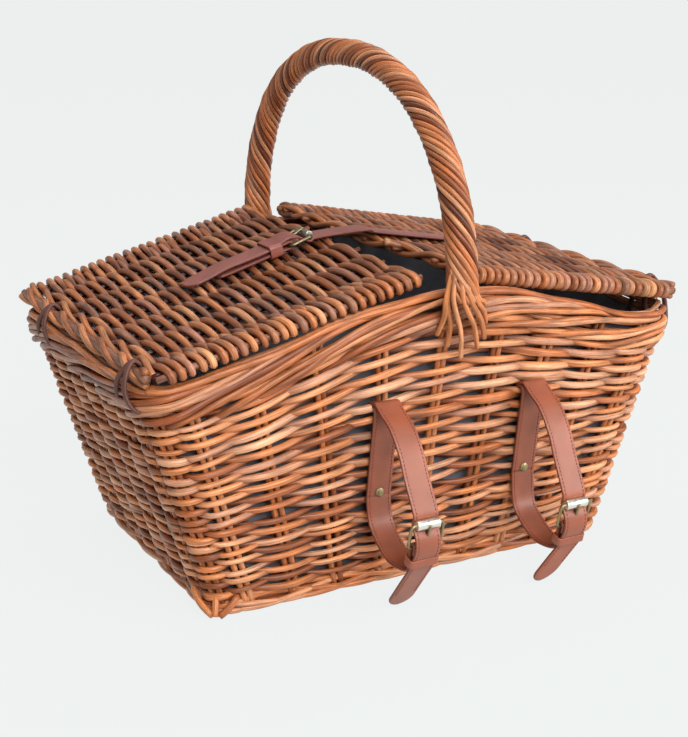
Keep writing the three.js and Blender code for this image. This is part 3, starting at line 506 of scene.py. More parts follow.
# A strand's depth under the rim's top and its depth inward, at shares of its length.
STRAND_KNOTS = (0, 0.14, 0.38, 0.72, 1)
STRAND_DROP = np.array((32, 25, 15.5, 7, 8)) * MM
STRAND_INSET = np.array((9, 0.5, -0.4, 2.0, 11)) * MM
# In millimetres: how far strands are shifted along the rim and in depth, and how far each waves in depth,
# with this many radians to its length.
STRAND_SHIFT, DEPTH_SHIFT = 5, 1.6
STRAND_WAVE, STRAND_WAVE_TURNS = 1.1, 13
fine_turn = np.linspace(0, 8, 1601)
rim_line = wall_point(fine_turn, RIM_END, 0.0)
rim_line[:, 2] = rim_top(rim_line[:, 0])
rim_length = run_length(rim_line)


def rim_path(start, sweep, drop, inset):
    """Paths round the rim by length along it: drop is the depth under its top and inset the depth inward."""
    length = np.mod(start + sweep, rim_length[-1])
    turn = np.interp(length, rim_length, fine_turn)
    x = wall_point(turn, RIM_END, inset)[..., 0]
    return wall_point(turn, rim_top(x) - drop, inset)


strand_t = np.linspace(0, 1, RIM_STEPS)
strand_start = np.arange(RIM_STRANDS) / RIM_STRANDS * rim_length[-1]
strand_start = strand_start + rng.uniform(-STRAND_SHIFT, STRAND_SHIFT, RIM_STRANDS) * MM
drop = smooth_through(STRAND_KNOTS, STRAND_DROP, strand_t)
drop = drop + rng.uniform(-DEPTH_SHIFT, DEPTH_SHIFT, (RIM_STRANDS, 1)) * MM
drop = drop + STRAND_WAVE * MM * np.sin(STRAND_WAVE_TURNS * strand_t + rng.uniform(0, 6, (RIM_STRANDS, 1)))
inset = smooth_through(STRAND_KNOTS, STRAND_INSET, strand_t) + np.zeros((RIM_STRANDS, 1))
strand_paths = rim_path(strand_start[:, None], RIM_SWEEP * strand_t, drop, inset)
strand_radii = STRAND_RADIUS * np.linspace(1.08, 0.82, RIM_STEPS) * rng.uniform(0.86, 1.12, (RIM_STRANDS, 1))
# A strand is darkened with painted shade in its first and last sixth, where it lies under others, and some
# are dark all along.
# The left half is darkened with painted shade and the right half lightened with painted light, as if lit
# more from the right.
UNDER_PAINTED_SHADE = 0.5
LEFT_PAINTED_SHADE, RIGHT_PAINTED_LIGHT = 0.32, 0.25
strand_stain_and_shade = UNDER_PAINTED_SHADE * (np.clip(1 - strand_t * 6, 0, 1) + np.clip(strand_t * 6 - 5, 0, 1))
strand_stain_and_shade = np.maximum(strand_stain_and_shade, rng.uniform(0, 0.4, (RIM_STRANDS, 1)))
strand_share = strand_paths[..., 0] / RIM_HALF[0]
strand_stain_and_shade = strand_stain_and_shade + LEFT_PAINTED_SHADE * np.clip(0.6 - strand_share, 0, 1)
strand_stain_and_shade = np.clip(strand_stain_and_shade - RIGHT_PAINTED_LIGHT * np.clip(strand_share, 0, 1), 0, 1)
rim_groups = [rods(strand_paths, strand_radii, (0, 0, 1), rng.uniform(0.0, 0.85, RIM_STRANDS), strand_stain_and_shade)]

# The top edge rises at the right end, over this span from this share of the half length.
RISE_START, RISE_SPAN = 0.88, 0.08


def right_rise(x):
    """Share of the rise at the right end that is reached at x: none before the corner, all at the end."""
    return ease((x / RIM_HALF[0] - RISE_START) / RISE_SPAN)


# Lines of rods along the top edge as (drop, inset, rise at the right end, where they stand under the lid).
EDGE_LINES = ((3.0, 4.2, 2.5), (3.4, 10.2, 7), (9.5, 13.2, 7))
EDGE_RODS = 6
EDGE_RADIUS = 2.6 * MM
# Each rod of a line runs a little past the start of the next.
EDGE_LAP = 1.04
# The rods sway up and down by this much, with this many radians to their length.
EDGE_SWAY, EDGE_SWAY_TURNS = 0.8 * MM, 19
EDGE_WEAR = 0.25
edge_t = np.linspace(0, 1, 120)
edge_start = np.arange(EDGE_RODS)[:, None] / EDGE_RODS * rim_length[-1]
edge_sweep = edge_t * rim_length[-1] / EDGE_RODS * EDGE_LAP
edge_rise = right_rise(rim_path(edge_start, edge_sweep, 0.0, 0.0)[..., 0])
for drop_mm, inset_mm, rise_mm in EDGE_LINES:
    sway = EDGE_SWAY * np.sin(edge_t * EDGE_SWAY_TURNS + rng.uniform(0, 6, (EDGE_RODS, 1)))
    edge_drop = (drop_mm - rise_mm * edge_rise) * MM + sway
    edge_paths = rim_path(edge_start, edge_sweep, edge_drop, inset_mm * MM)
    edge_radii = EDGE_RADIUS * np.linspace(1.05, 0.9, len(edge_t))
    rim_groups.append(rods(edge_paths, edge_radii, (0, 0, 1), rng.uniform(0.0, 0.8, EDGE_RODS), EDGE_WEAR))
make_piece(
    "rim_border", rim_groups, body_willow, "basket",
    ("front_rim_border", "back_rim_border", "left_rim_border", "right_rim_border"),
)


# Foot border
# A loose plait of short willow rods is laid both ways round the foot of the walls. Stake ends are left
# standing out at the front left corner.
FOOT_STRANDS = 40
FOOT_SWEEP = 135 * MM
FOOT_STEPS = 30
FOOT_RADIUS = 2.35 * MM
# In millimetres: the plait's middle height and how far its rods swing up and down; its middle inset, how far
# they swing in and out, and how far they dive in at their ends; how far they are shifted round the foot.
FOOT_MIDDLE, FOOT_SWING = 7.6, 5.2
FOOT_INSET, FOOT_WEAVE, FOOT_DIVE = 5.2, 2.6, 7
FOOT_SHIFT = 9
FOOT_WEAR = 0.2
foot_length = run_length(wall_point(fine_turn, 0.0, 5 * MM))
foot_start = np.repeat(np.arange(FOOT_STRANDS // 2), 2)[:, None] * foot_length[-1] / (FOOT_STRANDS // 2)
foot_start = foot_start + rng.uniform(-FOOT_SHIFT, FOOT_SHIFT, (FOOT_STRANDS, 1)) * MM
lay = np.tile((1.0, -1.0), FOOT_STRANDS // 2)[:, None]
foot_t = np.linspace(0, 1, FOOT_STEPS)
foot_turn = np.interp(np.mod(foot_start + FOOT_SWEEP * foot_t, foot_length[-1]), foot_length, fine_turn)
foot_z = FOOT_MIDDLE + FOOT_SWING * lay * np.sin(np.pi * (foot_t - 0.5))
foot_inset = FOOT_INSET - FOOT_WEAVE * lay * np.sin(2 * np.pi * foot_t)
foot_inset = foot_inset + FOOT_DIVE * np.abs(2 * foot_t - 1) ** 6
foot_paths = wall_point(foot_turn, foot_z * MM, foot_inset * MM)
foot_radii = FOOT_RADIUS * rng.uniform(0.9, 1.1, (FOOT_STRANDS, 1)) * np.linspace(1.04, 0.92, FOOT_STEPS)
foot_groups = [rods(foot_paths, foot_radii, (0, 0, 1), rng.uniform(0.1, 0.9, FOOT_STRANDS), FOOT_WEAR)]

# Rods laid round behind the plait, as (height, inset), close the foot to the light. They wave a little up
# and down, with this many radians to a turn of 1, and each runs a little past its own start.
FOOT_RINGS = ((3, 8.5), (7.5, 10), (12, 9))
RING_RADIUS = 2.6 * MM
RING_WAVE, RING_WAVE_TURNS = 0.5, 9
RING_END = 8.02
RING_WEAR = 0.45
ring_turn = np.linspace(0, RING_END, 240)[None]
for ring_z, ring_inset in FOOT_RINGS:
    ring_height = (ring_z + RING_WAVE * np.sin(ring_turn * RING_WAVE_TURNS + ring_z)) * MM
    ring_path = wall_point(ring_turn, ring_height, ring_inset * MM)
    foot_groups.append(rods(ring_path, RING_RADIUS, (0, 0, 1), [0.2], RING_WEAR))

# Stake ends as (turn from the corner, inset and height at the top, and the same three at the cut end).
CORNER_ENDS = np.array((
    (-0.14, 3.0, 20, -0.01, -5.2, 2.9), (0.005, 3.6, 17, 0.0, -6.2, 2.7), (0.09, 3.0, 15, 0.012, -4.6, 2.9),
))
CORNER_END_RADIUS = 2.5 * MM
CORNER_END_WEAR = 0.15
top, cut = CORNER_ENDS[:, None, :3], CORNER_ENDS[:, None, 3:]
end_place = top + (cut - top) * np.linspace(0, 1, 8)[:, None]
end_paths = wall_point(end_place[..., 0], end_place[..., 2] * MM, end_place[..., 1] * MM)
end_tint = rng.uniform(0.1, 0.6, len(CORNER_ENDS))
foot_groups.append(rods(end_paths, CORNER_END_RADIUS, (0, 0.3, 1), end_tint, CORNER_END_WEAR))
make_piece("foot_plait", foot_groups, body_willow, "basket", ("foot_border",))


# Base
# The bottom is a flat weave of willow inside the foot: thick sticks run lengthwise, and rods go across them,
# over one and under one.
BASE_STICKS = 13
BASE_WEAVERS = 46
BASE_MIDDLE = 5.6 * MM
BASE_WAVE = 2.6 * MM
BASE_STICK_RADIUS, BASE_WEAVER_RADIUS = 2.6 * MM, 2.9 * MM
BASE_MARGIN = 4 * MM
# Sticks and weavers end this far inside the bottom's edges.
STICK_SHORT, WEAVER_SHORT = 2 * MM, 1 * MM
BASE_WEAR = 0.4
base_low, base_high = (np.array(c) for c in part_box("base_panel"))
base_t = np.linspace(-1, 1, 60)
stick_y = np.linspace(base_low[1] + BASE_MARGIN, base_high[1] - BASE_MARGIN, BASE_STICKS)[:, None]
stick_x = base_t * (base_high[0] - STICK_SHORT)
stick_paths = np.stack(np.broadcast_arrays(stick_x, stick_y, BASE_MIDDLE), axis=-1)
weaver_x = np.linspace(base_low[0] + BASE_MARGIN, base_high[0] - BASE_MARGIN, BASE_WEAVERS)[:, None]
over = np.cos(np.pi * (base_t * (BASE_STICKS - 1) / 2 + np.arange(BASE_WEAVERS)[:, None]))
weaver_z = BASE_MIDDLE + BASE_WAVE * over
weaver_y = base_t * (base_high[1] - WEAVER_SHORT)
weave_paths = np.stack(np.broadcast_arrays(weaver_x, weaver_y, weaver_z), axis=-1)
base_groups = [
    rods(stick_paths, BASE_STICK_RADIUS, (0, 0, 1), rng.uniform(0, 0.6, BASE_STICKS), BASE_WEAR),
    rods(weave_paths, BASE_WEAVER_RADIUS, (1, 0, 0), rng.uniform(0, 0.6, BASE_WEAVERS), BASE_WEAR),
]
make_piece("woven_base", base_groups, body_willow, "basket", ("base_panel",))


# Handle
# Twelve willow rods are twisted together round a dark core and arched over the basket. At each foot rods
# part, fan out down the outside of the wall and are tucked into the weave.
def along_path(at, length, values):
    """Values of a path's steps, such as its points, at lengths along it: each column is filled in evenly."""
    return np.stack([np.interp(at, length, values[:, axis]) for axis in range(values.shape[1])], axis=-1)


HANDLE_APEX = 377 * MM
LEG_FOOT = 222 * MM
LEG_Y = 163.9 * MM
# The arch is half of a superellipse with this power: a little squarer than an ellipse.
ROUNDNESS = 2.2
TWIST_RODS = 12
CORE_RADIUS = 7.4 * MM
# On the legs and at the top: the handle's radius, its rods' radius and the length of one turn of the twist.
LEG_OUTER, TOP_OUTER = 11.6 * MM, 10.3 * MM
LEG_ROD_RADIUS, TOP_ROD_RADIUS = 2.15 * MM, 1.85 * MM
LEG_TWIST, TOP_TWIST = 95 * MM, 66 * MM
HANDLE_STEPS = 300
fine = np.linspace(0, np.pi, 4001)
arch_y = LEG_Y * np.sign(np.cos(fine)) * np.abs(np.cos(fine)) ** (2 / ROUNDNESS)
arch_z = LEG_FOOT + (HANDLE_APEX - LEG_FOOT) * np.sin(fine) ** (2 / ROUNDNESS)
arch = np.stack((0 * fine, -arch_y, arch_z), axis=-1)
arch_length = run_length(arch)
s = np.linspace(0, arch_length[-1], HANDLE_STEPS)
middle = along_path(s, arch_length, arch)
tangent = unit(np.gradient(middle, axis=0))
X_AXIS = np.array((1.0, 0.0, 0.0))
in_plane = np.cross(tangent, X_AXIS)
height_share = np.sin(np.pi * s / s[-1])
twist = np.cumsum(2 * np.pi / (LEG_TWIST + (TOP_TWIST - LEG_TWIST) * height_share)) * (s[1] - s[0])
outer = LEG_OUTER + (TOP_OUTER - LEG_OUTER) * height_share
around = 2 * np.pi * np.arange(TWIST_RODS)[:, None] / TWIST_RODS + twist
ring = np.cos(around)[..., None] * in_plane + np.sin(around)[..., None] * X_AXIS
wobble = rng.uniform(-0.35, 0.15, (TWIST_RODS, 1)) * MM
rod_radius = LEG_ROD_RADIUS + (TOP_ROD_RADIUS - LEG_ROD_RADIUS) * height_share
twist_paths = middle + ring * (outer - rod_radius + wobble)[..., None]
twist_radii = rod_radius * rng.uniform(0.88, 1.1, (TWIST_RODS, 1))
# Every fifth rod is a darker one.
DARK_ROD_WEAR, ROD_WEAR = 0.65, 0.34
twist_wear = np.where(np.arange(TWIST_RODS) % 5 == 1, DARK_ROD_WEAR, ROD_WEAR)[:, None]
handle_groups = [
    rods(twist_paths, twist_radii, ring, rng.uniform(0.0, 0.7, TWIST_RODS), twist_wear),
    rods(middle[None], CORE_RADIUS, X_AXIS, [0.0], 1.0),
]
make_piece("handle_twist", handle_groups, body_willow, "basket", ("handle_wrap",))

# Rods of one foot in millimetres as (sideways place on the leg, sideways place and height of the tuck), at
# the front, and turned half round for the back. They leave the twist at one height and part at another.
FAN = (
    (-11.5, -12, 196), (-9, 11, 175), (-4, 24, 181), (1, 29, 188), (6, 28, 200), (9.5, 25, 212),
    (-11, -2, 186),
)
FAN_KNOTS = (0, 0.25, 0.65, 1)
FAN_LEAVE, FAN_PART = 247, 227
FAN_RADIUS = 2.0 * MM
LEG_RADIUS = 11.0
# Between the leg and the tuck a rod's place is made of these shares of the two, and bulges out by this much.
# The tuck stands this far out from the wall's face.
LEG_SHARE, TUCK_SHARE = 0.45, 0.55
FAN_BULGE, FAN_STANDOFF = 2.5, 2.6
FAN_WEAR = 0.1
fan_t = np.linspace(0, 1, 30)
leg_y = LEG_Y / MM
for side, foot_name in ((-1, "front_handle_foot"), (1, "back_handle_foot")):
    fan_paths = []
    for leg_x, tuck_x, tuck_z in FAN:
        depth = math.sqrt(max(LEG_RADIUS ** 2 - leg_x ** 2, 4.0))
        wall_y = -wall_point(1 + tuck_x * MM / RIM_HALF[0], tuck_z * MM, 0.0)[1] / MM
        knots = (
            (0.5 * leg_x - 2, leg_y + 0.3 * depth, FAN_LEAVE),
            (leg_x - 1, leg_y + depth - 1.6, FAN_PART),
            (
                LEG_SHARE * leg_x + TUCK_SHARE * tuck_x,
                0.5 * (leg_y + depth + wall_y) + FAN_BULGE,
                LEG_SHARE * FAN_PART + TUCK_SHARE * tuck_z,
            ),
            (tuck_x, wall_y + FAN_STANDOFF, tuck_z),
        )
        fan_paths.append(smooth_through(FAN_KNOTS, np.array(knots) * MM, fan_t))
    fan_paths = np.array(fan_paths) * np.array((-side, side, 1))
    fan_radii = FAN_RADIUS * rng.uniform(0.9, 1.1, (len(FAN), 1)) * np.linspace(1, 0.92, len(fan_t))
    fan = rods(fan_paths, fan_radii, (0, side, 0.3), rng.uniform(0.2, 0.8, len(FAN)), FAN_WEAR)
    make_piece(foot_name + "_rods", [fan], body_willow, "basket", (foot_name,))

# The core of straight rods inside the twist, a CAD piece, shows only where the twist opens at the feet.
for slot in bpy.data.objects["handle_core"].material_slots:
    slot.material = body_willow


# Lids
# Each lid is a flat willow weave: sticks run from hinge to inner edge, with weavers over and under them.
# Thicker rods are hooped close together round the front and back edges and twined along the hinge rod.
lid_willow = willow(
    "brown_stained_willow",
    ("603018", "8a5030", "a8643c", "b57044", "8c6250", "c47e4e", "a87058", "cc9062"), "682c16", 0.4,
)
LIDS = {
    side: {name: np.mean(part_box(side + "_lid_" + name), axis=0) for name in ("hinge_rod", "edge_stick")}
    for side in ("left", "right")
}
HINGE_HALF, EDGE_HALF = 139 * MM, 145 * MM
LID_ROWS = 40
LID_WEAVER_RADIUS = 2.65 * MM
LID_WAVE = 3.3 * MM
LID_WAVE_FULLNESS = 0.75
LID_DARKENING = 0.9
# The rows start this far from the hinge, and end this far short of the inner edge and of the lid's sides.
ROWS_START, ROWS_SHORT, ROW_MARGIN = 14 * MM, 5 * MM, 7 * MM
# In millimetres, how far a row drifts along the lid, at random and in waves of this many radians to a metre.
ROW_DRIFT, DRIFT_PER_METRE = 0.7, 25
# Near the lid's sides the weavers are tucked under the edge hoops.
TUCK_START, TUCK_LENGTH, TUCK_DEPTH = 20 * MM, 10 * MM, 1.5 * MM
LID_STICKS = 7
LID_STICK_RADIUS = 1.9 * MM
LID_STICK_START = 4 * MM
LID_STICK_STEPS = 40
STICK_MARGIN = 14 * MM
STICK_PITCH = 2 * (HINGE_HALF - STICK_MARGIN) / (LID_STICKS - 1)
# The share by which sticks spread towards the inner edge, and how much paler their ends are.
STICK_SPLAY = 0.043
PALER_ENDS = 0.8
EDGE_HOOPS = 26
HOOP_RADIUS = 2.6 * MM
HOOP_SLANT = 2 * MM
# The hoops start this far from the hinge, and are spread over the lid's length less this much.
HOOPS_START, HOOPS_SHORT = 9 * MM, 7 * MM
# A hoop is darkened with painted shade from this far inside the edge, where it runs into the weave, at most
# this much, and takes this share of the lid's top darkening.
HOOP_INSIDE, HOOP_PAINTED_SHADE, HOOP_TOP_DARKENING_SHARE = 14 * MM, 0.8, 0.35
EDGE_STICK_DEPTH = 5.5 * MM
EDGE_STICK_RADIUS = 2.4 * MM
EDGE_STICK_PAST = 4 * MM
TWINE_RADIUS = 2.5 * MM
HINGE_ROD_RADIUS = 3.2 * MM
# How much shorter a lid is at its front corner than at its middle: the right lid was woven askew.
LID_SKEW = {"left": 3 * MM, "right": 17 * MM}
# How much the tops of a lid's rods are darkened: at the hinge's front end, and how much more at the back
# and at the inner edge. The right lid's is painted shade over the whole lid.
LID_TOP_DARKENING = {"left": (0.0, 0.26, 0.34), "right": (0.42, 0.0, 0.0)}
# Front and back ends of the hinge rods, which are not quite centred.
HINGE_ENDS = {"left": (-126, 141), "right": (-131, 135)}
# Where a thick stick's cut end stands up at the right lid's inner edge, and its size. It starts this far
# inside the edge and ends this far past it, and is dark but for its end.
STUB_V = -41 * MM
STUB_RADIUS = 3.1 * MM
STUB_INSIDE, STUB_PAST = 22 * MM, 3 * MM
STUB_HEIGHTS = (1, 4.4)
STUB_STEPS = 8
STUB_WEAR = 0.7


def lid_frame(lid):
    """A lid's hinge point, its directions along the lid and up from it, and its length to the edge stick."""
    hinge, edge = lid["hinge_rod"], lid["edge_stick"]
    along = unit(edge - hinge)
    lift = np.array((-along[2], 0, along[0])) * np.sign(along[0])
    return hinge, along, lift, np.linalg.norm(edge - hinge)


def lid_point(lid, u, v, w):
    """Points of a lid: u from the hinge towards the inner edge, v across it, w above its middle."""
    hinge, along, lift, _ = lid_frame(lid)
    u, v, w = np.broadcast_arrays(u, v, w)
    return hinge + u[..., None] * along + v[..., None] * np.array((0, 1.0, 0)) + w[..., None] * lift


def lid_reach(side, v):
    """Length of a lid's weave from the hinge, shorter towards the front corner by the lid's skew."""
    return lid_frame(LIDS[side])[3] - LID_SKEW[side] * ease(0.3 - v / EDGE_HALF)


def half_across(side, u):
    """Half of a lid's width, which grows evenly from the hinge to the inner edge."""
    return HINGE_HALF + (EDGE_HALF - HINGE_HALF) * u / lid_frame(LIDS[side])[3]


# An edge hoop as (depth from the edge, height), and hinge twines as (distance from the hinge, reach, start).
EDGE_HOOP = np.array((
    (33, -2), (24, 2.2), (14, 4.3), (6.5, 4.2), (2.2, 2.9),
    (0.8, 0), (2.2, -2.7), (6.5, -3.6), (15, -3.6), (27, -2),
)) * MM
HINGE_TWINES = np.array(((0, 3.6, 0.2), (0, 3.6, 3.34), (8.5, 3.0, 1.7), (8.5, 3.0, 4.84)))[..., None]
# How far the twines swing above and under the lid's middle, at the hinge and at the inner edge.
HINGE_TWINE_LIFT = 4.4 * MM
EDGE_TWINE_LIFT, EDGE_TWINE_SWAY = 3.2 * MM, 1.2 * MM
# The edge twines lie this far back from the weave's end, and end this far short of the lid's corners.
EDGE_TWINE_BACK, EDGE_TWINE_SHORT = 1.5 * MM, 2 * MM
hoop = smooth_through(np.linspace(0, 1, len(EDGE_HOOP)), EDGE_HOOP, np.linspace(0, 1, 30))

for side, lid in LIDS.items():
    _, lid_along, lid_lift, lid_length = lid_frame(lid)
    row = np.arange(LID_ROWS)[:, None]
    v = np.linspace(-1, 1, 180) * (HINGE_HALF - ROW_MARGIN)
    u = ROWS_START + (lid_reach(side, v) - ROWS_START - ROWS_SHORT) * row / (LID_ROWS - 1)
    swing = np.cos(np.pi * (v / STICK_PITCH + row))
    swing = np.sign(swing) * np.abs(swing) ** LID_WAVE_FULLNESS
    tucked = ease((np.abs(v) - HINGE_HALF + TUCK_START) / TUCK_LENGTH)
    w = LID_WAVE * swing * (1 - tucked) - TUCK_DEPTH * tucked
    drift = ROW_DRIFT * MM * np.sin(v * DRIFT_PER_METRE + rng.uniform(0, 6.3, (LID_ROWS, 1)))
    drift = drift + rng.uniform(-ROW_DRIFT, ROW_DRIFT, (LID_ROWS, 1)) * MM
    # On the right lid the top darkening is painted shade.
    least, at_back, at_edge = LID_TOP_DARKENING[side]
    top_darkening = least + at_back * (0.5 + 0.5 * v / HINGE_HALF) + at_edge * row / (LID_ROWS - 1)
    # Rods are darkened with painted shade where they pass under the sticks, and by at least the lid's top
    # darkening.
    hidden = np.clip(0.5 - w / (2 * LID_WAVE), top_darkening, 1)
    radii = LID_WEAVER_RADIUS * rng.uniform(0.9, 1.1, (LID_ROWS, 1))
    lid_rows = lid_point(lid, u + drift, v * half_across(side, u) / HINGE_HALF, w)
    lid_groups = [rods(lid_rows, radii, lid_along, rng.uniform(0.05, 1, LID_ROWS), LID_DARKENING * hidden)]

    # The sticks stand out a little past the inner edge. Along the weave they are darkened fully with painted
    # shade, and their ends past the edge are paler.
    stick_v = (np.arange(LID_STICKS) - (LID_STICKS - 1) / 2)[:, None] * STICK_PITCH
    overshoot = rng.uniform(2, 8, (LID_STICKS, 1)) * MM
    stick_reach = lid_reach(side, stick_v) + overshoot - LID_STICK_START
    stick_u = LID_STICK_START + np.linspace(0, 1, LID_STICK_STEPS) * stick_reach
    sticks = lid_point(lid, stick_u, stick_v * (1 + STICK_SPLAY * stick_u / lid_length), 0.0)
    stick_tint = rng.uniform(0.0, 0.5, LID_STICKS)
    # Painted shade darkens each stick fully except at its end.
    stick_painted_shade = 1 - PALER_ENDS * ease(np.linspace(-24, 1, LID_STICK_STEPS))
    lid_groups.append(rods(sticks, LID_STICK_RADIUS, lid_lift, stick_tint, stick_painted_shade))
    if side == "right":
        stub_u = np.linspace(lid_length - STUB_INSIDE, lid_length + STUB_PAST, STUB_STEPS)
        stub = lid_point(lid, stub_u, STUB_V, np.linspace(*STUB_HEIGHTS, STUB_STEPS) * MM)
        stub_wear = np.where(np.arange(STUB_STEPS) < STUB_STEPS - 1, STUB_WEAR, 0.0)
        lid_groups.append(rods(stub[None], STUB_RADIUS, lid_lift, [1.0], stub_wear))

    for end in (-1, 1):
        end_reach = lid_reach(side, end * EDGE_HALF)
        hoop_number = np.arange(EDGE_HOOPS)[:, None] + 0.5
        hoop_u = hoop_number * (end_reach - HOOPS_SHORT) / EDGE_HOOPS + HOOPS_START
        hoop_u = hoop_u + rng.uniform(-0.8, 0.8, (EDGE_HOOPS, 1)) * MM
        hoop_u = hoop_u + HOOP_SLANT * np.linspace(-1, 1, len(hoop))
        hoops = lid_point(lid, hoop_u, end * (half_across(side, hoop_u) - hoop[:, 0]), hoop[:, 1])
        hoop_radii = HOOP_RADIUS * rng.uniform(0.9, 1.08, (EDGE_HOOPS, 1))
        # A hoop is darkened with painted shade where it runs into the weave.
        inside = HOOP_PAINTED_SHADE * ease((hoop[:, 0] - HOOP_INSIDE) / HOOP_INSIDE)
        inside = np.maximum(inside, HOOP_TOP_DARKENING_SHARE * least)
        lid_groups.append(rods(hoops, hoop_radii, lid_along, rng.uniform(0.15, 1, EDGE_HOOPS), inside))
        edge_u = np.linspace(LID_STICK_START, end_reach + EDGE_STICK_PAST, 30)
        edge_stick = lid_point(lid, edge_u, end * (half_across(side, edge_u) - EDGE_STICK_DEPTH), 0.0)
        lid_groups.append(rods(edge_stick[None], EDGE_STICK_RADIUS, lid_lift, [0.6], 0.3))
    make_piece(
        side + "_lid_weave", lid_groups, lid_willow, side + "_lid", (side + "_lid_panel",),
    )

    # Rods are twined in pairs round the hinge rod and beside it, and two twine round the stick ends.
    hinge_front, hinge_back = HINGE_ENDS[side]
    turned_v = np.linspace(hinge_front + 1, hinge_back - 1, 160) * MM
    phase = np.pi * turned_v / STICK_PITCH + HINGE_TWINES[:, 2]
    turned_u = (HINGE_TWINES[:, 0] + HINGE_TWINES[:, 1] * np.sin(phase)) * MM
    twines = lid_point(lid, turned_u, turned_v, HINGE_TWINE_LIFT * np.cos(phase))
    hinge_rod = lid_point(lid, 0.0, np.linspace(hinge_front, hinge_back, 40) * MM, 0.0)
    hinge_groups = [
        rods(twines, TWINE_RADIUS, lid_lift, rng.uniform(0.2, 0.9, len(HINGE_TWINES)), 0.2),
        rods(hinge_rod[None], HINGE_ROD_RADIUS, lid_lift, [0.6], 0.3),
    ]
    make_piece(
        side + "_lid_hinge_hoops", hinge_groups, lid_willow, side + "_lid",
        (side + "_lid_hinge_rod",),
    )
    twine_v = np.linspace(-1, 1, 160) * (EDGE_HALF - EDGE_TWINE_SHORT)
    twine_phase = np.pi * twine_v / STICK_PITCH
    over_under = np.array((1.0, -1.0))[:, None]
    twine_w = over_under * EDGE_TWINE_LIFT * np.cos(twine_phase)
    twine_u = lid_reach(side, twine_v) - EDGE_TWINE_BACK
    twine_u = twine_u + over_under * EDGE_TWINE_SWAY * np.sin(twine_phase)
    edge_twines = lid_point(lid, twine_u, twine_v, twine_w)
    twine_group = rods(edge_twines, TWINE_RADIUS, lid_lift, rng.uniform(0.3, 0.9, 2), 0.15)
    make_piece(
        side + "_lid_edge_twine", [twine_group], lid_willow, side + "_lid",
        (side + "_lid_edge_stick",),
    )


# Blanket straps
# Two straps of smooth tan leather come out of gaps in the front wall and hang in loops for a rolled blanket.
# Each is two bands: one is riveted to the wall and folded round a buckle's bar, and the other is the tongue.

# The wear's soft clouds are about 18 mm across, and the grain's pebbles about 0.7 mm.
CLOUDS_PER_METRE = 55.0
PEBBLES_PER_METRE = 1500.0


def leather(name, colour, edge_colour, roughness):
    """Smooth-grained leather: an even dye with cloudy wear, a fine pebble grain and darker cut edges."""
    material, tree, out = new_material(name)
    stain_and_shade = add_node(tree, "ShaderNodeAttribute", attribute_name="stain_and_shade").outputs["Fac"]
    grain = add_node(tree, "ShaderNodeAttribute", attribute_name="grain").outputs["Vector"]
    cloud = add_node(tree, "ShaderNodeTexNoise", {"Vector": grain, "Scale": CLOUDS_PER_METRE, "Detail": 3.0})
    pebble = add_node(tree, "ShaderNodeTexVoronoi", {"Vector": grain, "Scale": PEBBLES_PER_METRE})
    shade = add_node(
        tree, "ShaderNodeMapRange",
        {
            "Value": cloud.outputs["Fac"], "From Min": NOISE_LOW, "From Max": NOISE_HIGH,
            "To Min": 0.82, "To Max": 1.12,
        },
    )
    dyed = add_node(
        tree, "ShaderNodeMix", {"Factor": 1.0, "A": linear(colour), "B": shade.outputs[0]},
        data_type="RGBA", blend_type="MULTIPLY",
    )
    edged = add_node(
        tree, "ShaderNodeMix", {"Factor": stain_and_shade, "A": dyed.outputs[2], "B": linear(edge_colour)},
        data_type="RGBA",
    )
    bump = add_node(
        tree, "ShaderNodeBump",
        {"Height": pebble.outputs["Distance"], "Strength": 0.12, "Distance": 0.4 * MM},
    )
    bsdf = add_node(
        tree, "ShaderNodeBsdfPrincipled",
        {"Base Color": edged.outputs[2], "Roughness": roughness, "Normal": bump.outputs["Normal"]},
    )
    tree.links.new(bsdf.outputs["BSDF"], out.inputs["Surface"])
    return material


strap_leather = leather("tan_leather", "8a4b34", "6e3420", 0.42)

STRAP_HALF_WIDTH = 10 * MM
STRAP_THICKNESS = 2 * MM
# The section's corners, all round, as (which edge, millimetres in from it, share of half the thickness).
SECTION = np.array((
    (-1, 0, -0.4), (-1, 0.25, -0.85), (-1, 0.7, -1), (-1, 5, -1),
    (1, 5, -1), (1, 0.7, -1), (1, 0.25, -0.85), (1, 0, -0.4),
    (1, 0, 0.4), (1, 0.25, 0.85), (1, 0.7, 1), (1, 5, 1.08),
    (-1, 5, 1.08), (-1, 0.7, 1), (-1, 0.25, 0.85), (-1, 0, 0.4),
))
# The cut edge is what lies this near to the section's side, and shows this much of the edge's colour.
CUT_EDGE, CUT_EDGE_WEAR = 0.3, 0.85


def strip(path, across, tip=0.0):
    """A band of leather along a path, carried across by a fixed direction, with softly rounded edges. tip is
    the length over which the last end is rounded off as half an ellipse."""
    out = unit(np.cross(across, unit(np.gradient(path, axis=0))))
    length = run_length(path)
    left = np.clip((length[-1] - length) / max(tip, 1e-9), 0, 1)
    half = STRAP_HALF_WIDTH * np.sqrt(np.maximum(1 - (1 - left) ** 2, 0.002))
    reach = SECTION[:, 0] * np.maximum(half[:, None] - SECTION[:, 1] * MM, 0.05 * half[:, None])
    rise = SECTION[:, 2] * STRAP_THICKNESS / 2
    points = path[:, None] + reach[..., None] * np.asarray(across) + rise[:, None] * out[:, None]
    place = np.arange(reach.size).reshape(reach.shape)
    cap = cap_faces(len(SECTION))
    grain = np.stack(np.broadcast_arrays(length[:, None], reach, rise), axis=-1)
    return {
        "points": points.reshape(-1, 3),
        "faces": np.concatenate((ring_faces(place), place[0][cap[:, ::-1]], place[-1][cap])),
        "stain_and_shade": np.tile((SECTION[:, 1] < CUT_EDGE) * CUT_EDGE_WEAR, len(path)),
        "grain": grain.reshape(-1, 3),
    }


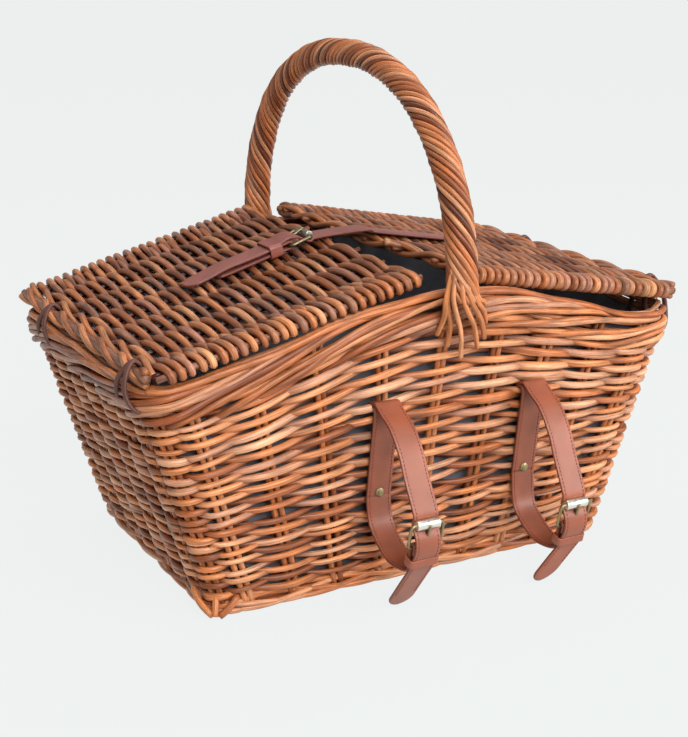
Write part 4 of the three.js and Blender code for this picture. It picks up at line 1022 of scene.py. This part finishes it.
def through(points, steps):
    """A smooth path of equal steps through points."""
    points = np.asarray(points, float)
    fine = smooth_through(np.arange(len(points)), points, np.linspace(0, len(points) - 1, 40 * len(points)))
    length = run_length(fine)
    return along_path(np.linspace(0, length[-1], steps), length, fine)


STITCH_PITCH, STITCH_LENGTH = 2.8 * MM, 1.7 * MM
# A stitch's ends lie at this height over the strap's middle, and it stands up by this much between them.
STITCH_SEAT, STITCH_RISE = 0.96 * MM, 0.3 * MM
STITCH_OFFSET = 7.8 * MM


def stitches(path, across, offset, first, last):
    """Paths of stitches beside a strip's edge: short arcs that rise from the leather and sink into it."""
    out = unit(np.cross(across, unit(np.gradient(path, axis=0))))
    length = run_length(path)
    share = np.linspace(0, 1, 6)
    at = np.arange(first, length[-1] - last, STITCH_PITCH)[:, None] + STITCH_LENGTH * share
    height = STITCH_SEAT + STITCH_RISE * np.sin(np.pi * share)
    middle = along_path(at, length, path) + offset * np.asarray(across)
    return middle + height[:, None] * along_path(at, length, out)


def seat_point(seat, along, out, across=0.0):
    """A place by a buckle in millimetres: along from bar to roller, out of its front and across it."""
    origin, along_axis, out_axis, across_axis = seat
    return origin + MM * (along * along_axis + out * out_axis + across * across_axis)


# The gap between the bands and the weave, so that they lie on it.
WALL_GAP = 0.3


def wall_face(x, z):
    """The y of the front wall's face at a place along it and a height, in millimetres."""
    straight_half = BASE_HALF[0] + (RIM_HALF[0] - BASE_HALF[0]) * z * MM / RIM_END - CORNER
    return wall_point(1 + STRAIGHT_SHARE * x * MM / straight_half, z * MM, 0.0)[1] / MM - WALL_GAP


# The buckles lean back from upright, and their bars stand this far in front of the gap in the wall.
LEAN = math.radians(104)
LEAN_ALONG = np.array((0, math.cos(LEAN), math.sin(LEAN)))
LEAN_OUT = np.array((0, -math.sin(LEAN), math.cos(LEAN)))
BAR_REACH = 54
# By a buckle, as (along, out): the band's fold round its bar, and the tongue past its roller and keeper.
FOLD_RADIUS = 2.5
FOLD = [
    (FOLD_RADIUS * math.cos(a), FOLD_RADIUS * math.sin(a)) for a in np.linspace(-math.pi / 2, math.pi / 2, 7)
] + [(-6, FOLD_RADIUS)]
PAST_BUCKLE = ((24, -4.7), (18, -4.8), (13.5, -1.9), (9, 2.4), (4, 4.6), (0, 5.1), (-5, 4.4))
UNDER_KEEPER = ((-12, 2.1), (-17, 1.4))
# In millimetres: the band and the tongue in the gap as (depth behind the wall's face, height over the gap),
# and how far the band stands out from the wall, which it then follows.
BAND_ROOT = ((8, -3), (1, -2.4))
TONGUE_ROOT = ((8, -1), (1, 0.4), (-2, 0.6))
BAND_STANDOFF = 1.9
# The band's lower loop as (reach from the wall, height over the bar), and its run to it as (along, out).
BAND_LOOP = ((8.5, -5), (25.5, -18), (41, -23))
BAND_TO_BAR = [(-21, -2.5), (-12, -2.5)]
# The tongue's upper loop as (reach from the wall, share of the fall to the bar), and its tail's points.
TONGUE_LOOP = ((11, 0.06), (23, 0.14), (35, 0.3), (43, 0.48))
TAIL_SHARES = (0.3, 0.65, 1)
TIP_HEIGHT = 2.4
TIP_LENGTH = 11 * MM
BAND_STEPS, TONGUE_STEPS = 170, 200
# The stitching starts this far from a band's first end and stops this far from its last.
BAND_SEWN, TONGUE_SEWN = (14 * MM, 26 * MM), (15 * MM, 17 * MM)
# Each strap: its place along the front, the heights of its gap, its rivet and its bar, and its tail's tip:
# how far it swings aside and how far it stands out from the wall.
BLANKET_STRAPS = {"left": (-46, 148, 79, 61, 0, 19), "right": (81, 144, 75, 51, 14, 37)}
SEATS = {}
threads = {"basket": []}
for side, (x, top, rivet_z, bar, swing, tip_reach) in BLANKET_STRAPS.items():
    gap_y = wall_face(x, top)
    seat = (np.array((x, gap_y - BAR_REACH, bar)) * MM, LEAN_ALONG, LEAN_OUT, X_AXIS)
    SEATS[side + "_strap"] = seat

    # The band lies on the wall down past its rivet and swings out to the buckle.
    band = [(x, gap_y + depth, top + rise) for depth, rise in BAND_ROOT]
    on_wall = (top - 8, (top + rivet_z) / 2, rivet_z, rivet_z - 4.5)
    band += [(x, wall_face(x, z) - BAND_STANDOFF, z) for z in on_wall]
    band += [(x, wall_face(x, bar + rise) - reach, bar + rise) for reach, rise in BAND_LOOP]
    band = [np.array(p) * MM for p in band]
    band += [seat_point(seat, along, out) for along, out in BAND_TO_BAR + FOLD]
    band_path = through(band, BAND_STEPS)
    make_piece(
        side + "_strap_band", [strip(band_path, -X_AXIS)], strap_leather, "basket",
        (side + "_strap_back_band",),
    )

    # The tongue arches out from the gap, passes buckle and keeper, and its tail falls straight to its tip.
    tongue = [(x, gap_y + depth, top + rise) for depth, rise in TONGUE_ROOT]
    tongue += [(x, gap_y - reach, top + share * (bar - top)) for reach, share in TONGUE_LOOP]
    tongue = [np.array(p) * MM for p in tongue]
    tongue += [seat_point(seat, along, out) for along, out in PAST_BUCKLE + UNDER_KEEPER]
    tail_start = tongue[-1]
    tail_tip = np.array((x - swing, gap_y - tip_reach, TIP_HEIGHT)) * MM
    tongue += [tail_start + (tail_tip - tail_start) * share for share in TAIL_SHARES]
    tongue_path = through(tongue, TONGUE_STEPS)
    make_piece(
        side + "_strap_tongue_band", [strip(tongue_path, -X_AXIS, TIP_LENGTH)], strap_leather,
        side + "_tongue", (side + "_strap_tongue",),
    )
    edges = (-STITCH_OFFSET, STITCH_OFFSET)
    threads["basket"] += [stitches(band_path, -X_AXIS, edge, *BAND_SEWN) for edge in edges]
    threads[side + "_tongue"] = [stitches(tongue_path, -X_AXIS, edge, *TONGUE_SEWN) for edge in edges]


# Closing strap
# A chestnut leather strap is riveted to the right lid, crosses the gap between the lids, passes the buckle
# and lies on the left lid. The buckle's tab, riveted to the left lid, lies under it.
lid_leather = leather("chestnut_leather", "7e4338", "602e24", 0.42)
STRAP_Y = -4 * MM
Y_AXIS = np.array((0.0, 1.0, 0.0))
LID_TILT = math.atan2(*lid_frame(LIDS["left"])[1][[2, 0]])
# The buckle leans up from the lid. Its bar stands this far along the lid from the hinge, and this high.
CLOSING_LEAN = LID_TILT + math.radians(6)
HINGE_X, BAR_X = 217.056, 54
BAR_ALONG = (HINGE_X - BAR_X) / math.cos(LID_TILT)
BAR_LIFT = 11.7
# In millimetres: places on the left lid as (distance back from the bar, height), and on the right lid as
# (distance from its edge towards its hinge, height).
TAB_PLACES = ((62, 7.6), (52, 7.6), (32, 8.3), (12, 9.2))
TAIL_PLACES = ((12, 13.6), (24, 12.6), (38, 12.2), (52, 12), (69, 9.8), (86, 8))
ROOT_PLACES = ((99, 7.6), (50, 7.6), (10, 7.6), (0, 8.3))
EDGE_PAST_STICK = 4.2
RIGHT_EDGE = lid_frame(LIDS["right"])[3] / MM + EDGE_PAST_STICK
TAB_TIP = 4 * MM
TAB_STEPS, CLOSING_STEPS = 90, 220


def on_lid(side, u, w):
    """A place on a lid under the closing strap, in millimetres along the lid and above its middle."""
    return lid_point(LIDS[side], u * MM, STRAP_Y, w * MM)


closing_seat = (
    on_lid("left", BAR_ALONG, BAR_LIFT),
    np.array((math.cos(CLOSING_LEAN), 0, math.sin(CLOSING_LEAN))),
    np.array((-math.sin(CLOSING_LEAN), 0, math.cos(CLOSING_LEAN))),
    -Y_AXIS,
)
SEATS["closing_strap"] = closing_seat
tab = [on_lid("left", BAR_ALONG - distance, w) for distance, w in TAB_PLACES]
tab += [seat_point(closing_seat, along, out) for along, out in FOLD]
tab_path = through(tab, TAB_STEPS)
make_piece(
    "closing_strap_tab_band", [strip(tab_path[::-1], Y_AXIS, TAB_TIP)], lid_leather, "left_lid",
    ("closing_strap_tab",),
)
closing = [on_lid("right", RIGHT_EDGE - distance, w) for distance, w in ROOT_PLACES]
closing += [seat_point(closing_seat, along, out) for along, out in PAST_BUCKLE]
closing += [on_lid("left", BAR_ALONG - distance, w) for distance, w in TAIL_PLACES]
closing_path = through(closing, CLOSING_STEPS)
closing_band = make_piece(
    "closing_strap_band", [strip(closing_path, -Y_AXIS, TIP_LENGTH)], lid_leather, None,
    ("closing_strap",),
)
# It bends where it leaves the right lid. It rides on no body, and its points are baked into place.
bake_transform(closing_band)


# Stitching
# Maroon thread is sewn in one row along each edge of the blanket straps' bands, and its stitches stand out a
# little from the leather. Thread has no cut edge, so its two colours are one.
stitch_thread = leather("maroon_thread", "7c3326", "7c3326", 0.6)
THREAD_RADIUS = 0.28 * MM
for body, runs in threads.items():
    paths = np.concatenate(runs)
    thread = rods(paths, THREAD_RADIUS, X_AXIS + 0.01, np.full(len(paths), 0.5), sides=6)
    make_piece(body + "_stitching", [thread], stitch_thread, body)


# Keepers and punched holes
# A keeper is a narrow loop of the strap's leather round both bands below the buckle. Each tongue has a hole
# for the prong, which is not cut: a dark spot set into the leather is painted shade for it.
def closed_sweep(path, side_axis, section):
    """A section of (sideways, outward) offsets carried round a closed path: sideways is side_axis, and
    outward is square to it and to the path."""
    tangent = unit(np.roll(path, -1, 0) - np.roll(path, 1, 0))
    side = np.broadcast_to(side_axis, path.shape)
    out = unit(np.cross(side, tangent))
    points = path[:, None] + section[:, :1] * side[:, None] + section[:, 1:] * out[:, None]
    place = np.arange(len(path) * len(section)).reshape(len(path), len(section))
    grain = np.stack(np.broadcast_arrays(run_length(path)[:, None], section[:, 0], section[:, 1]), axis=-1)
    return {
        "points": points.reshape(-1, 3),
        "faces": ring_faces(np.concatenate((place, place[:1]))),
        "grain": grain.reshape(-1, 3),
    }


def round_corners(half_a, low_b, high_b, radius, steps=8):
    """A rectangle with round corners as (a, b) points, once round: quarter arcs about four centres."""
    quarter = np.linspace(0, np.pi / 2, steps)
    right, top, bottom = half_a - radius, high_b - radius, low_b + radius
    arcs = []
    for k, centre in enumerate(((right, top), (-right, top), (-right, bottom), (right, bottom))):
        angle = quarter + k * np.pi / 2
        arcs.append(np.array(centre) + radius * np.stack((np.cos(angle), np.sin(angle)), axis=-1))
    return np.concatenate(arcs)


KEEPER_ALONG = -12
# In millimetres: half of a keeper's thickness and its edges' rounding, and half of its reach across the
# strap and its corners' radius.
KEEPER_HALF_THICK, KEEPER_ROUND = 0.8, 0.5
KEEPER_HALF_ACROSS, KEEPER_CORNER = 11.1, 1.8
# The hole's middle on the tongue, along and out, the direction that the leather faces there, and where the
# dark spot lies in that direction.
HOLE_PLACE = np.array((11.3, 0.55))
HOLE_FACING = np.array((0.625, 0.78))
HOLE_DEPTHS = np.linspace(0.5, 1.16, 4)
HOLE_RADIUS = 1.7 * MM
# The closing strap's keeper lies flat on the lid, square to it and not to the leaning buckle.
_, left_along, left_up, _ = lid_frame(LIDS["left"])
flat_seat = (closing_seat[0], left_along, left_up, closing_seat[3])
# Each strap's keeper: its seat, half of its width, its lowest and highest reach out of the buckle's plane,
# the body that carries it, the body of the tongue and the leather.
KEEPERS = {
    "left_strap": (SEATS["left_strap"], 3.2, -4.5, 4.1, "basket", "left_tongue", strap_leather),
    "right_strap": (SEATS["right_strap"], 3.2, -4.5, 4.1, "basket", "right_tongue", strap_leather),
    "closing_strap": (flat_seat, 5.2, -4.5, 4.0, "left_lid", "closing_strap_free_end", lid_leather),
}
hole_painted_shade = leather("punched_hole_shade", "2a120c", "2a120c", 0.9)
for strap, (seat, keeper_half, keeper_low, keeper_high, carrier, tongue_body, hide) in KEEPERS.items():
    keeper_section = round_corners(KEEPER_HALF_THICK, -keeper_half, keeper_half, KEEPER_ROUND, 4) * MM
    loop = round_corners(KEEPER_HALF_ACROSS, keeper_low, keeper_high, KEEPER_CORNER)
    loop_path = np.array([seat_point(seat, KEEPER_ALONG, out, across) for across, out in loop])
    make_piece(
        strap + "_keeper_loop", [closed_sweep(loop_path, seat[1], keeper_section[:, ::-1])], hide, carrier,
        (strap + "_keeper",),
    )
    hole_places = HOLE_PLACE + HOLE_FACING * HOLE_DEPTHS[:, None]
    hole_path = np.array([seat_point(SEATS[strap], along, out) for along, out in hole_places])
    # The dark spot is painted shade for the punched hole.
    hole = rods(hole_path[None], HOLE_RADIUS, SEATS[strap][3], [0.5], sides=16)
    make_piece(strap + "_prong_hole", [hole], hole_painted_shade, tongue_body)


# Buckles
# Each buckle is a bent brass wire frame with a prong that turns on its bar and a nickel-plated roller at its
# end. The closing strap's is duller than the other two.

# Patches of tarnish are about 3 mm across, and raise the roughness by this much where they are thickest.
TARNISH_PER_METRE = 330.0
TARNISH_ROUGHNESS = 0.2


def metal(name, colour, roughness, tarnish):
    """Polished metal: bright where it is rubbed, with soft patches of duller, darker tarnish."""
    material, tree, out = new_material(name)
    place = add_node(tree, "ShaderNodeTexCoord").outputs["Object"]
    patch = add_node(
        tree, "ShaderNodeTexNoise", {"Vector": place, "Scale": TARNISH_PER_METRE, "Detail": 3.0},
    )
    mixed = add_node(
        tree, "ShaderNodeMix", {"Factor": patch.outputs["Fac"], "A": linear(colour), "B": linear(tarnish)},
        data_type="RGBA",
    )
    rough = add_node(
        tree, "ShaderNodeMapRange",
        {
            "Value": patch.outputs["Fac"], "From Min": NOISE_LOW, "From Max": NOISE_HIGH,
            "To Min": roughness, "To Max": roughness + TARNISH_ROUGHNESS,
        },
    )
    bsdf = add_node(
        tree, "ShaderNodeBsdfPrincipled",
        {"Base Color": mixed.outputs[2], "Metallic": 1.0, "Roughness": rough.outputs[0]},
    )
    tree.links.new(bsdf.outputs["BSDF"], out.inputs["Surface"])
    return material


aged_brass = metal("aged_brass", "b8a67c", 0.34, "75684a")
dull_brass = metal("dull_brass", "8d8062", 0.3, "4c4434")
bright_nickel = metal("bright_nickel", "f2f0e6", 0.2, "e2dfd2")
dull_nickel = metal("dull_nickel", "b9b2a4", 0.26, "6c665c")
wire_angle = np.arange(12) * np.pi / 6
WIRE = np.stack((np.cos(wire_angle), np.sin(wire_angle)), axis=-1)
WIRE_RADIUS = 1.25 * MM
# A frame's half width, its length from bar to roller and its corners' radius, in millimetres.
FRAME_HALF, FRAME_LENGTH, FRAME_CORNER = 12.8, 18, 3
# The prong as (along, out), its steps and radius; its eye's radius, half width and half thickness.
PRONG_PATH = ((1.2, 1.5), (5, 1.9), (10, 2.6), (15, 3.5), (19.2, 4.2))
PRONG_STEPS = 24
PRONG_RADIUS = 1.15 * MM
EYE_RADIUS = 2.3
EYE_SECTION = np.array((2.2, 0.8)) * MM
eye_angle = np.linspace(0, 2 * np.pi, 20, endpoint=False)
eye_places = EYE_RADIUS * np.stack((np.cos(eye_angle), np.sin(eye_angle)), axis=-1)
# The roller as (place across, radius) in millimetres.
ROLLER_PROFILE = np.array((
    (-9.1, 2.7), (-9.0, 3.1), (-8.6, 3.4), (-8.2, 3.5), (8.2, 3.5), (8.6, 3.4), (9.0, 3.1), (9.1, 2.7),
))
# Each buckle: the bodies that carry its frame, its prong and its roller, and its metals.
BUCKLES = {
    "left_strap": ("basket", "left_prong", "left_roller", aged_brass, bright_nickel),
    "right_strap": ("basket", "right_prong", "right_roller", aged_brass, bright_nickel),
    "closing_strap": ("left_lid", "closing_prong", "closing_roller", dull_brass, dull_nickel),
}
for strap, (carrier, prong_body, roller_body, brass, nickel) in BUCKLES.items():
    seat = SEATS[strap]
    frame_corners = round_corners(FRAME_HALF, 0, FRAME_LENGTH, FRAME_CORNER)
    frame_path = np.array([seat_point(seat, along, 0.0, across) for across, along in frame_corners])
    make_piece(
        strap + "_buckle_wire", [closed_sweep(frame_path, seat[2], WIRE_RADIUS * WIRE)], brass, carrier,
        (strap + "_buckle_frame",),
    )
    prong_path = through([seat_point(seat, along, out) for along, out in PRONG_PATH], PRONG_STEPS)
    eye_path = np.array([seat_point(seat, along, out) for along, out in eye_places])
    prong_groups = [
        rods(prong_path[None], PRONG_RADIUS * np.linspace(1.1, 0.8, PRONG_STEPS), seat[3], [0.5]),
        closed_sweep(eye_path, seat[3], EYE_SECTION * WIRE),
    ]
    make_piece(
        strap + "_buckle_tine", prong_groups, brass, prong_body, (strap + "_buckle_prong",),
    )
    roller_path = np.array([seat_point(seat, FRAME_LENGTH, 0.0, across) for across in ROLLER_PROFILE[:, 0]])
    roller = rods(roller_path[None], ROLLER_PROFILE[:, 1] * MM, seat[2], [0.5], sides=24)
    make_piece(
        strap + "_buckle_sleeve", [roller], nickel, roller_body, (strap + "_buckle_roller",),
    )


# Rivets
# Brass domes are pressed through the leather: one in each blanket strap's band, one at the closing strap's
# root and one in the buckle's tab, where the strap hides it.
right_up = lid_frame(LIDS["right"])[2]
WALL_FACING = np.array((0, -1.0, 0.06))
# Each rivet: the body that carries it and the direction that its dome faces.
RIVETS = {
    "left_strap_rivet": ("basket", WALL_FACING),
    "right_strap_rivet": ("basket", WALL_FACING),
    "closing_strap_anchor_rivet": ("right_lid", right_up),
    "closing_strap_tab_rivet": ("left_lid", left_up),
}
# The dome as (height, radius) in millimetres.
DOME = np.array((
    (-1.4, 3.3), (-0.6, 3.5), (-0.1, 3.45), (0.3, 3.15), (0.6, 2.6), (0.8, 1.9), (0.95, 1.0), (1.0, 0.2),
))
for rivet, (carrier, facing) in RIVETS.items():
    low, high = (np.array(c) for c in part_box(rivet))
    axis = (low + high) / 2 + DOME[:, :1] * MM * unit(facing)
    dome = rods(axis[None], DOME[:, 1] * MM, (0.3, 0.5, 0.7), [0.5], sides=24)
    make_piece(rivet + "_dome", [dome], aged_brass, carrier, (rivet,))


# Hinge ties
# A dark rawhide thong is lapped twice round each hinge rod and the rim under it. Its two turns lie together
# on the rod and spread apart below it.
thong_leather = leather("dark_rawhide", "563026", "3c2019", 0.6)
THONG = np.array((2.7, 1.5)) * MM * WIRE
THONG_SPREAD = 15 * MM
THONG_SAG = 3.2 * MM
# The turns' distance from the solid's sides and from its middle on the rod, and how much they narrow there.
THONG_INSET, THONG_BESIDE, THONG_NARROWING = 1 * MM, 0.8 * MM, 0.42
# Each turn as (side that it spreads to, how much wider it is than the other).
THONG_TURNS = ((1, 0.0), (-1, 0.9 * MM))
# A power under one makes a turn hug the rod and the rim.
THONG_FULLNESS = 0.8
lap = np.linspace(0, 2 * np.pi, 60, endpoint=False)
lap_cos, lap_sin = np.cos(lap), np.sin(lap)
narrowing = 1 - THONG_NARROWING * np.clip(lap_sin, 0, 1)
for node in ("left_hinge_tie_1", "left_hinge_tie_2", "right_hinge_tie_1", "right_hinge_tie_2"):
    low, high = (np.array(c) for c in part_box(node))
    high[2] -= THONG_SAG
    centre, half = (low + high) / 2, (high - low) / 2 - THONG_INSET
    turns = []
    for spread_to, swell in THONG_TURNS:
        x = centre[0] + (half[0] + swell) * lap_cos * narrowing
        y = centre[1] + spread_to * (THONG_BESIDE + THONG_SPREAD * (1 - lap_sin) / 2)
        z = centre[2] + (half[2] + swell) * np.sign(lap_sin) * np.abs(lap_sin) ** THONG_FULLNESS
        turns.append(closed_sweep(np.stack((x, y, z), axis=-1), Y_AXIS, THONG))
    make_piece(node + "_thong", turns, thong_leather, "basket", (node,))


# Lining
# A tub of dark grey cotton canvas, sewn from a base and four sides, hangs inside the weave from under the
# rim. Its threads are woven square, with soft lighter slubs.
CANVAS_INSET = 14 * MM
CANVAS_THICKNESS = 1.0 * MM
LINING_FLOOR = 13 * MM
LINING_DROP = 8 * MM
LINING_RISE = 8 * MM
# How far the sides pucker, and in waves of this many radians to a turn of 1.
PUCKER, PUCKER_TURNS = 0.8 * MM, 23
# One wave of the wave texture is this long at scale 1. Slubs are about 17 mm across.
WAVE_LENGTH = 0.314
THREAD_SPACING = 1.1 * MM
SLUBS_PER_METRE = 60.0
canvas, tree, out = new_material("grey_cotton_canvas")
weave_place = add_node(tree, "ShaderNodeAttribute", attribute_name="grain").outputs["Vector"]
thread_wave = {"Vector": weave_place, "Scale": WAVE_LENGTH / THREAD_SPACING, "Distortion": 0.4}
threads_across = add_node(tree, "ShaderNodeTexWave", thread_wave, bands_direction="X")
threads_up = add_node(tree, "ShaderNodeTexWave", thread_wave, bands_direction="Y")
crossed = add_node(
    tree, "ShaderNodeMath", {0: threads_across.outputs["Fac"], 1: threads_up.outputs["Fac"]},
    operation="ADD",
)
slub = add_node(tree, "ShaderNodeTexNoise", {"Vector": weave_place, "Scale": SLUBS_PER_METRE, "Detail": 3.0})
canvas_shade = add_node(
    tree, "ShaderNodeMix", {"Factor": slub.outputs["Fac"], "A": linear("54565d"), "B": linear("777980")},
    data_type="RGBA",
)
canvas_bump = add_node(
    tree, "ShaderNodeBump", {"Height": crossed.outputs[0], "Strength": 0.3, "Distance": 0.3 * MM},
)
bsdf = add_node(
    tree, "ShaderNodeBsdfPrincipled",
    {
        "Base Color": canvas_shade.outputs[2], "Roughness": 0.95, "Sheen Weight": 0.2,
        "Normal": canvas_bump.outputs["Normal"],
    },
)
tree.links.new(bsdf.outputs["BSDF"], out.inputs["Surface"])

# The sides follow the walls, slightly puckered at the top, and the floor shrinks from them to its middle.
lining_turn = np.linspace(0, 8, 241)[:-1]
side_t = np.linspace(0, 1, 26)[:, None]
lining_x = wall_point(lining_turn, RIM_END, CANVAS_INSET)[:, 0]
lining_top = rim_top(lining_x) - LINING_DROP + LINING_RISE * right_rise(lining_x + CANVAS_INSET)
side_z = LINING_FLOOR + (lining_top - LINING_FLOOR) * side_t
pucker = PUCKER * np.sin(lining_turn * PUCKER_TURNS) * side_t ** 2
sides = wall_point(lining_turn + 0 * side_t, side_z, CANVAS_INSET + pucker)
floor_middle = np.array((0, 0, LINING_FLOOR))
floor_t = np.linspace(0.02, 1, 14)[:-1, None, None]
lining_floor = floor_middle + floor_t * (sides[0] - floor_middle)
grid = np.concatenate((lining_floor, sides))
place = np.arange(grid.shape[0] * grid.shape[1]).reshape(grid.shape[:2])
# The rings run from the middle outwards, so their faces are turned round to point into the tub.
quads = np.roll(ring_faces(place)[:, ::-1], 1, axis=1)
round_length = np.cumsum(np.linalg.norm(np.roll(sides[-1], -1, 0) - sides[-1], axis=-1))
lining_place = np.stack(np.broadcast_arrays(round_length, grid[..., 2], 0.0), axis=-1)
lining_place[:len(lining_floor)] = lining_floor
lining_group = {
    "points": grid.reshape(-1, 3),
    "faces": np.concatenate((quads, cap_faces(grid.shape[1]))),
    "grain": lining_place.reshape(-1, 3),
}
lining = make_piece("canvas_lining", [lining_group], canvas, "basket", ("lining",))
hem = lining.modifiers.new("cloth_thickness", "SOLIDIFY")
hem.thickness = CANVAS_THICKNESS
hem.offset = 0.0
